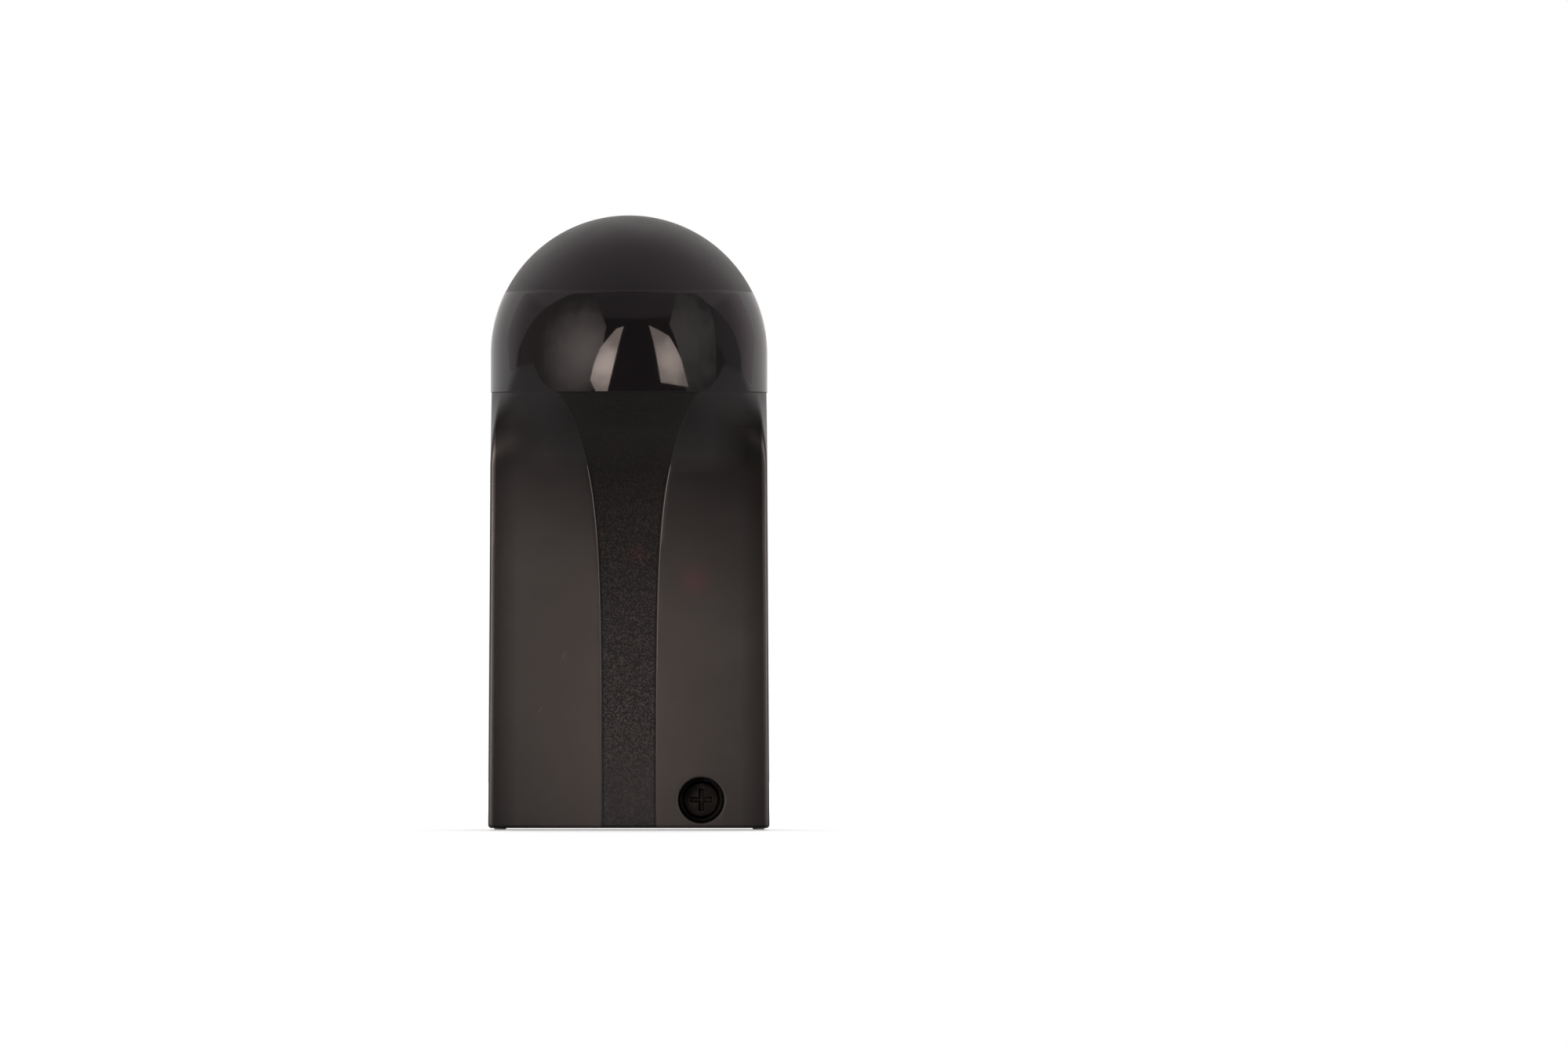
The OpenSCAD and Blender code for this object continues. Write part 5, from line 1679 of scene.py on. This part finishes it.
    def varistor(self) -> None:
        """The varistor: a disc dipped in lacquer, on two leads with lacquer collars."""
        f, (x, z) = self.board_face, self.at(-0.158, 0.314)
        bulge = [(0, -1.4), (1.6, -1.5), (2.6, -1.42), *arc(2.55, 0, 1.05, -65, 65, 8), (2.6, 1.42),
                 (1.6, 1.5), (0, 1.4)]
        disc = turned(bulge, Axis.ACROSS).moved(x, -f - 3.9, z)
        leg = turned([(0, -0.2), (0.35, -0.2), (0.35, 0.9), (0.6, 1.2), (0.75, 2.5), (0, 2.6)], sides=20,
                     base=f)
        legs = leg.copied([(x, 0, z + s * 1.8) for s in (-1, 1)])
        self.dress("surge_disc", "varistor", "blue_lacquer", {"blue_dipped_lacquer": joined([disc, legs])},
                   crease=40)

    def diodes(self) -> None:
        """Four diodes: moulded bodies with a silver band, on leads bent down into the board."""
        x, z = self.at(0.227, 0.253)
        body = turned([(0, -2.5), (1.15, -2.5), (1.35, -2.3), (1.35, 2.3), (1.15, 2.5), (0, 2.5)],
                      Axis.ACROSS, 40)
        band = turned([(1.2, -1.9), (1.36, -1.9), (1.36, -1.3), (1.2, -1.3), (1.2, -1.9)], Axis.ACROSS, 40)
        half = [(2.3, 0), (2.75, 0.2), (2.9, 0.9), (2.9, 1.65)]
        path = smooth_path([(-a, b, 0) for a, b in reversed(half)] + [(a, b, 0) for a, b in half], 5)
        lead = swept_tube(path, 0.35, 12, aside=(0.0, 0.0, 1.0))
        spots = [(x, -self.board_face - 1.65, z + 3.1 * i) for i in range(4)]
        self.dress("bridge_diodes", "rectifier_diodes", "black_epoxy",
                   {"black_moulded_epoxy": body.copied(spots), "silver_band_ink": band.copied(spots),
                    "tinned_copper": lead.copied(spots)})

    def microcontroller(self) -> None:
        """The microcontroller: a drafted body with a dimple and two rows of gull-wing legs."""
        f, (x, z) = self.board_face, self.at(-0.128, 0.767)
        body = stack(box_outline(8.65, 3.9, 0.35, 3), [(0.18, 0.12), (0, 0.8), (0.15, 1.55), (0.22, 1.6)],
                     base=f)
        dimple = turned([(0, 1.5), (0.4, 1.5), (0.4, 2), (0, 2)], sides=24, base=f).moved(-3.6, 0, -1.2)
        wing = [(0, 2.95), (0, 2.35), (0.55, 2.15), (0.72, 1.9), (0.92, 1.9), (0.72, 2.3), (0.2, 2.5),
                (0.2, 2.95)]
        leg = stack(np.array([(-f - h, v) for h, v in wing]), [(0, -0.2), (0, 0.2)], Axis.ACROSS)
        other = Surface(leg.points * np.array([1, 1, -1]), leg.faces)
        rows = [(x + (i - 3) * 1.27, 0, z) for i in range(7)]
        self.dress("logic_chip", "microcontroller", "black_epoxy",
                   {"black_moulded_epoxy": carved(body, [], [dimple]).moved(x, 0, z),
                    "tinned_copper": joined([leg.copied(rows), other.copied(rows)])})

    def regulator(self) -> None:
        """The regulator: a drafted body, a heat tab under its top edge and two bent feet."""
        f, (x, z) = self.board_face, self.at(0.719, 0.682)
        body = stack(box_outline(6.5, 6.1, 0.5, 3), [(0.1, 0), (0, 1.0), (0.25, 2.2), (0.35, 2.3)], base=f)
        tab = stack(box_outline(5.2, 1.6, 0.2, 3), [(0.05, 0), (0, 0.05), (0, 0.45), (0.05, 0.5)], base=f)
        bent = [(0, -3.75), (0.5, -3.75), (0.5, -3.4), (1.1, -3.0), (0.7, -2.8), (0, -3.2)]
        foot = stack(np.array([(-f - h, v) for h, v in bent]), [(0, -0.4), (0, 0.4)], Axis.ACROSS)
        feet = foot.copied([(x + s * 2.145, 0, z) for s in (-1, 1)])
        self.dress("supply_regulator", "voltage_regulator", "black_epoxy",
                   {"black_moulded_epoxy": body.moved(x, 0, z),
                    "tinned_copper": joined([tab.moved(x, 0, z + 2.87), feet])})

    def flat_chips(self, kind: str, high: float, finish: str, slot: str, shares: Profile) -> None:
        """Flat chips with tinned ends and a fillet of solder at each.

        Args:
            kind: What they are, in the plural.
            high: Height of their ends over the board.
            finish: Finish of their middles.
            slot: Material slot of the record.
            shares: Place of each, as shares of the half width and of the height.
        """
        at = [(x, -self.board_face - high / 2, z) for x, z in (self.at(*s) for s in shares)]
        middle = rounded_block((1.3, high - 0.04, 1.2), 0.05, 2)
        ends = blocks((0.42, high, 1.25), 0.09, [(s * 0.79, 0, 0) for s in (-1, 1)])
        fillets = blocks((0.5, 0.12, 1.35), 0.05, [(s * 1.0, high / 2 - 0.05, 0) for s in (-1, 1)], 2)
        self.dress(f"flat_{kind}", f"chip_{kind}", slot,
                   {finish: middle.copied(at), "tinned_copper": joined([ends, fillets]).copied(at)})

    def chips(self) -> None:
        """The microcontroller, the regulator, and the flat resistors and capacitors."""
        self.microcontroller()
        self.regulator()
        self.flat_chips("resistors", 0.55, "black_moulded_epoxy", "black_epoxy", [
            (-0.276, 0.51), (-0.276, 0.571), (-0.276, 0.633), (-0.118, 0.51), (-0.118, 0.571), (0.325, 0.592),
            (0.325, 0.531), (0.739, 0.865)])
        self.flat_chips("capacitors", 1.1, "tan_ceramic", "tan_ceramic", [
            (-0.305, 0.882), (-0.453, 0.882), (0.473, 0.91), (0.759, 0.498), (-0.601, 0.882)])

    def crystal(self) -> None:
        """The crystal's drawn can: a flange with a soft rim under a can with a round shoulder."""
        x, z = self.at(-0.65, 0.784)
        foot = [(0.05, 0), (0, 0.05), (0, 0.35), (0.05, 0.4), (0.22, 0.42), (0.25, 0.5)]
        quarter = np.linspace(0, math.pi / 2, 6)
        shoulder = [(0.95 - 0.7 * math.cos(a), 2.9 + 0.7 * math.sin(a)) for a in quarter]
        can = stack(box_outline(11, 4.7, 2.34, 14), foot + shoulder, base=self.board_face).moved(x, 0, z)
        self.dress("clock_crystal", "quartz_crystal", "nickel_can", {"drawn_nickel_silver": can})

    def lamps(self) -> None:
        """The two red lamps: a flanged epoxy dome each, with a cup and a post inside."""
        f = self.board_face
        dome = turned([(0, 0), (1.8, 0), (1.8, 0.5), (1.7, 0.6), (1.5, 0.62), (1.5, 3.8),
                       *arc(0, 3.8, 1.5, 5, 90, 12)], sides=48, base=f)
        cup = turned([(0, 0.3), (0.3, 0.3), (0.3, 2.4), (0.75, 3.0), (0.6, 3.0), (0.3, 2.75), (0, 2.7)],
                     sides=24, base=f)
        places = [(x, 0, z) for x, z in (self.at(0.084, 0.635), self.at(0.571, 0.537))]
        self.dress("red_lamps", "alignment_leds", "red_epoxy",
                   {"red_clear_epoxy": dome.copied(places), "tinned_copper": cup.copied(places)}, crease=35)

    def connector(self) -> None:
        """The wires' connector: a soft block with a notch at each side and three openings."""
        f, (x, z) = self.board_face, self.at(0, 0.918)
        body = stack(box_outline(8, 4.4, 0.3, 3), soft_profile(f, f + 4.4, 0.2)).moved(x, 0, z)
        notches = blocks((0.8, 3.2, 2.2), 0.1, [(x + s * 4, -f - 3.8, z) for s in (-1, 1)])
        mouths = blocks((1.2, 1.6, 0.9), 0.1, [(x + s * 2.1, -f - 4.4, z - 1.35) for s in (-1, 0, 1)])
        self.dress("lead_plug", "lead_connector", "ivory_nylon",
                   {"ivory_nylon": carved(body, [], [joined([notches, mouths])])})

    def jumper(self) -> None:
        """The jumper's header of three pins, and the jumper with two sockets and a ribbed grip."""
        f, p, (x, z) = self.board_face, self.header_pitch, self.at(0.345, 0.776)
        places = [(x, 0, z + p * i) for i in (-1, 0, 1)]
        brick = stack(box_outline(p, p, 0.35, 1), [(0.05, 0), (0, 0.05), (0, 2.44), (0.1, 2.54)], base=f)
        square = np.array([(-0.32, -0.32), (0.32, -0.32), (0.32, 0.32), (-0.32, 0.32)])
        pin = stack(square, [(0, 0.6), (0, 6.6), (0.18, 7)], base=f)
        self.dress("jumper_pins", "jumper_header", "black_epoxy",
                   {"black_glass_filled_nylon": brick.copied(places),
                    "nickel_plated_brass": pin.copied(places)})
        cap = stack(box_outline(2.4, 4.9, 0.3, 3), soft_profile(f + 2.64, f + 7.64, 0.2))
        cap = cap.moved(x, 0, z - p / 2)
        sockets = blocks((0.9, 8.0, 0.9), 0.08, [(x, -f - 5.0, z + s) for s in (0, -p)])
        grip = blocks((3, 0.3, 0.2), 0.05, [(x, -f - 6.2 + 0.6 * i, z - p / 2 + 2.5) for i in range(3)])
        self.dress("jumper_shunt", "jumper_cap", "red_nylon", {"red_nylon": carved(cap, [], [sockets, grip])},
                   "jumper")

    def build(self) -> None:
        """Makes the board and all its parts."""
        for make in (self.board, self.terminals, self.relay, self.capacitor, self.varistor, self.diodes,
                     self.chips, self.crystal, self.lamps, self.connector, self.jumper):
            make()


# Studio


@dataclass(frozen=True)
class Panel:
    """A flat glowing panel out of the camera's sight, whose corners lie in given directions from the dome.

    A direction is an azimuth to the right of the camera's side and a rise, in degrees. The corners stand on
    the plane that is square to their mean direction, where each direction meets it. The light falls off from
    the brightest place, more or less evenly, to what is left at the spread.
    """

    name: str
    corners: tuple[tuple[float, float], ...]
    reach: float
    radiance: float
    colour: str
    hot: tuple[float, float]
    spread: float
    dim: float
    ragged: float = 0.28

    def build(self, centre: Array) -> None:
        """Makes the panel.

        Args:
            centre: Where the directions start.
        """
        a, e = np.radians(np.array([*self.corners, self.hot], float)).T
        way = np.stack([np.sin(a) * np.cos(e), -np.cos(a) * np.cos(e), np.sin(e)], axis=-1)
        middle = way.mean(axis=0)
        middle /= np.linalg.norm(middle)
        *points, hot = centre + self.reach * way / (way @ middle)[:, None]
        graph = Graph.named(self.name, shader="ShaderNodeEmission")
        uneven = graph.ramp(graph.noise(300.0), 1 - self.ragged, 1 + self.ragged)
        away = graph.product(graph.distance(graph.place, *hot.tolist()), uneven)
        strength = graph.fade(away, self.radiance, self.radiance * self.dim, 0.0, self.spread, True)
        glow = graph.finished(Color=linear(self.colour), Strength=strength)
        mesh = bpy.data.meshes.new(self.name)
        mesh.from_pydata((np.array(points) * MM).tolist(), [], [tuple(range(len(points)))])
        mesh.materials.append(glow)
        sheet = bpy.data.objects.new(self.name, mesh)
        bpy.context.scene.collection.objects.link(sheet)
        sheet.visible_camera = False
        sheet.visible_shadow = False


# Two warm softboxes before the object and the room's pale walls beside it, as the window mirrors them
PANELS = (
    Panel("left_softbox", ((-4.3, 22.2), (-10.4, 20.2), (-23.5, 4.1), (-28.9, -8.3), (-32.2, -19.3),
                           (-27.8, -29.7), (-18.3, -30.3)),
          1300, 6.6, "#ffeae0", (-18.8, -9.3), 520, 0.38),
    Panel("right_softbox", ((17.6, 22.8), (34.5, 13.4), (44.7, -4.9), (51.2, -20.7), (27.1, -22.4)),
          1300, 4.9, "#ffeae0", (34.2, -4.3), 480, 0.4),
    Panel("left_wall", ((-42.4, 50.7), (-19.5, 21.9), (-24.8, -26.3), (-67.4, -27.9), (-100.9, -4.6),
                        (-101.5, 6.2), (-87.4, 26.4), (-70.2, 40.2)),
          1700, 1.4, "#fff0ea", (-35.8, 1.7), 1500, 0.12, 0.08),
    Panel("right_wall", ((58.7, 49), (36, 22.8), (51.2, -28.3), (77.6, -27.5), (77.7, 6.5), (83.2, 32.2),
                         (75.2, 43.7)),
          1700, 0.6, "#fff4f2", (46.2, 12.7), 1500, 0.3),
    Panel("far_right_wall", ((77.7, 6.5), (112.1, -21.8), (107.6, -2.4), (99.1, 14.5), (83.2, 32.2)),
          1700, 0.2, "#fff8f8", (96.2, 8.7), 1500, 0.6),
)


@dataclass
class Studio:
    """Camera, lamps, world and ground, as the photograph had them."""

    camera_x: float = 27.8
    camera_z: float = 0.0
    distance: float = 5000.0
    focus_depth: float = 18.5
    frame_w: float = 281.3
    sensor_w: float = 36.0
    ground_z: float = -55.35
    dome_z: float = 30.1
    bend_r: float = 400.0

    def camera(self) -> None:
        """Sets a level camera that looks along +Y."""
        data = bpy.data.cameras.new("camera")
        data.sensor_width = self.sensor_w
        data.lens = self.sensor_w * self.distance / self.frame_w
        data.clip_start, data.clip_end = 0.01, 50.0
        eye = bpy.data.objects.new("camera", data)
        eye.location = (self.camera_x * MM, -(self.distance + self.focus_depth) * MM, self.camera_z * MM)
        eye.rotation_euler = (math.pi / 2, 0, 0)
        bpy.context.scene.collection.objects.link(eye)
        bpy.context.scene.camera = eye

    def world(self) -> None:
        """Pale all round for the camera; a dim room in front and a white sweep behind for the lighting.

        The room's brightness is a sum: the wall over the sweep, the sweep behind, a darker front and a dim
        ceiling.
        """
        world = bpy.data.worlds.new("studio")
        bpy.context.scene.world = world
        graph = Graph(world, "ShaderNodeBackground", "ShaderNodeOutputWorld")
        _, y, z = graph.add("ShaderNodeSeparateXYZ", {0: graph.coords["Generated"]}).outputs
        share = graph.math("MULTIPLY_ADD", graph.math("MAXIMUM", z, 0.0), 0.854, y)
        share = graph.math("MULTIPLY_ADD", graph.math("MINIMUM", z, 0.0), 0.4, share)
        wall = graph.ramp(share, 0.0, 0.235, 0.27, 0.33, True)
        back = graph.ramp(y, 0.086, 0.47, 0.1, 0.75, True)
        front = graph.ramp(y, -0.06, 0.02, -0.85, -0.3, True)
        ceiling = graph.product(graph.ramp(z, 0.0, 0.13, 0.465, 0.51), graph.ramp(z, 1.0, 0.0, 0.8, 0.9))
        room = graph.blend(graph.total(wall, back, front, ceiling), "#000000", "#ffeff6")
        rays = graph.add("ShaderNodeLightPath").outputs
        seen = graph.blend(rays["Is Camera Ray"], room, "#ffffff")
        graph.finished(Color=graph.blend(rays["Is Diffuse Ray"], seen, "#eeeeee"), Strength=1.0)

    def paper(self) -> Material:
        """White paper: matt with a faint pulp, self-lit for the camera, more so the farther away it lies.

        The object mirrors the paper near it as grey, since it shades it.

        Returns:
            The material.
        """
        graph = Graph.named("white_paper_sweep")
        rays = graph.add("ShaderNodeLightPath").outputs
        near = graph.ramp(graph.axes[1], 1.0, 0.0, 0.35, 0.8)
        white = graph.blend(graph.noise(40.0, 3.0), "#f4f4f4", "#f7f7f6")
        seen = graph.add("ShaderNodeMath", {0: rays["Is Camera Ray"], 1: rays["Is Transmission Ray"]},
                         operation="ADD", use_clamp=True).outputs[0]
        away = graph.distance(graph.place, 0.0, 0.0, self.ground_z)
        return graph.finished(
            Base_Color=graph.blend(graph.product(near, rays["Is Glossy Ray"]), white, "#a5a3a3"),
            Roughness=0.9, Specular_IOR_Level=0.1, Emission_Color=linear("#ffffff"),
            Emission_Strength=graph.product(seen, graph.fade(away, 0.42, 1.1, 150, 450)))

    def ground(self) -> None:
        """A white sweep: flat under the object, where it keeps its shadow, and curving up far behind it.

        Point (i, j) of the sheet goes back along a level line, then up a quarter circle, then upright. The
        upright part only lights the object, so that a camera behind it looks past it.
        """
        flat_rows, cols, flat_end, top = 13, 9, 900, 1800.0
        t = np.linspace(0, math.pi / 2, 17)
        back = np.concatenate([np.linspace(-130, flat_end, flat_rows), flat_end + self.bend_r * np.sin(t)[1:],
                               [flat_end + self.bend_r]])
        rise = np.concatenate([np.zeros(flat_rows), self.bend_r * (1 - np.cos(t))[1:], [top]]) + self.ground_z
        x, y, z = np.broadcast_arrays(np.linspace(-2000, 1500, cols), back[:, None], rise[:, None])
        points, paper = np.stack([x, y, z], axis=-1), self.paper()
        for name, part in (("paper_floor", points[:flat_rows]), ("paper_wall", points[flat_rows - 1:])):
            sheet = make_piece(name, Surface(part.reshape(-1, 3), quads(len(part), cols)), [paper])
            sheet.visible_camera = name == "paper_floor"

    def build(self) -> None:
        """Puts the whole studio up."""
        bpy.context.scene.view_settings.view_transform = "Standard"
        self.camera()
        self.world()
        self.ground()
        for panel in PANELS:
            panel.build(np.array([0, -self.focus_depth, self.dome_z]))


def main() -> None:
    """Loads the frame, puts the studio up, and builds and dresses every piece."""
    logging.basicConfig(level=logging.INFO, format="%(name)s: %(message)s", stream=sys.stdout)
    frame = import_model()
    Studio().build()
    LOG.info("studio is up")
    finishes = {finish.name: finish.build() for finish in FINISHES}
    for assembly in (SmokedCover, CaseBase, Fasteners, Optic, BoardParts):
        assembly(finishes).build()
    left = [name for name, node in frame["nodes"].items() if not node.hide_render]
    LOG.info("CAD nodes still shown: %s", left)


if __name__ == "__main__":
    main()
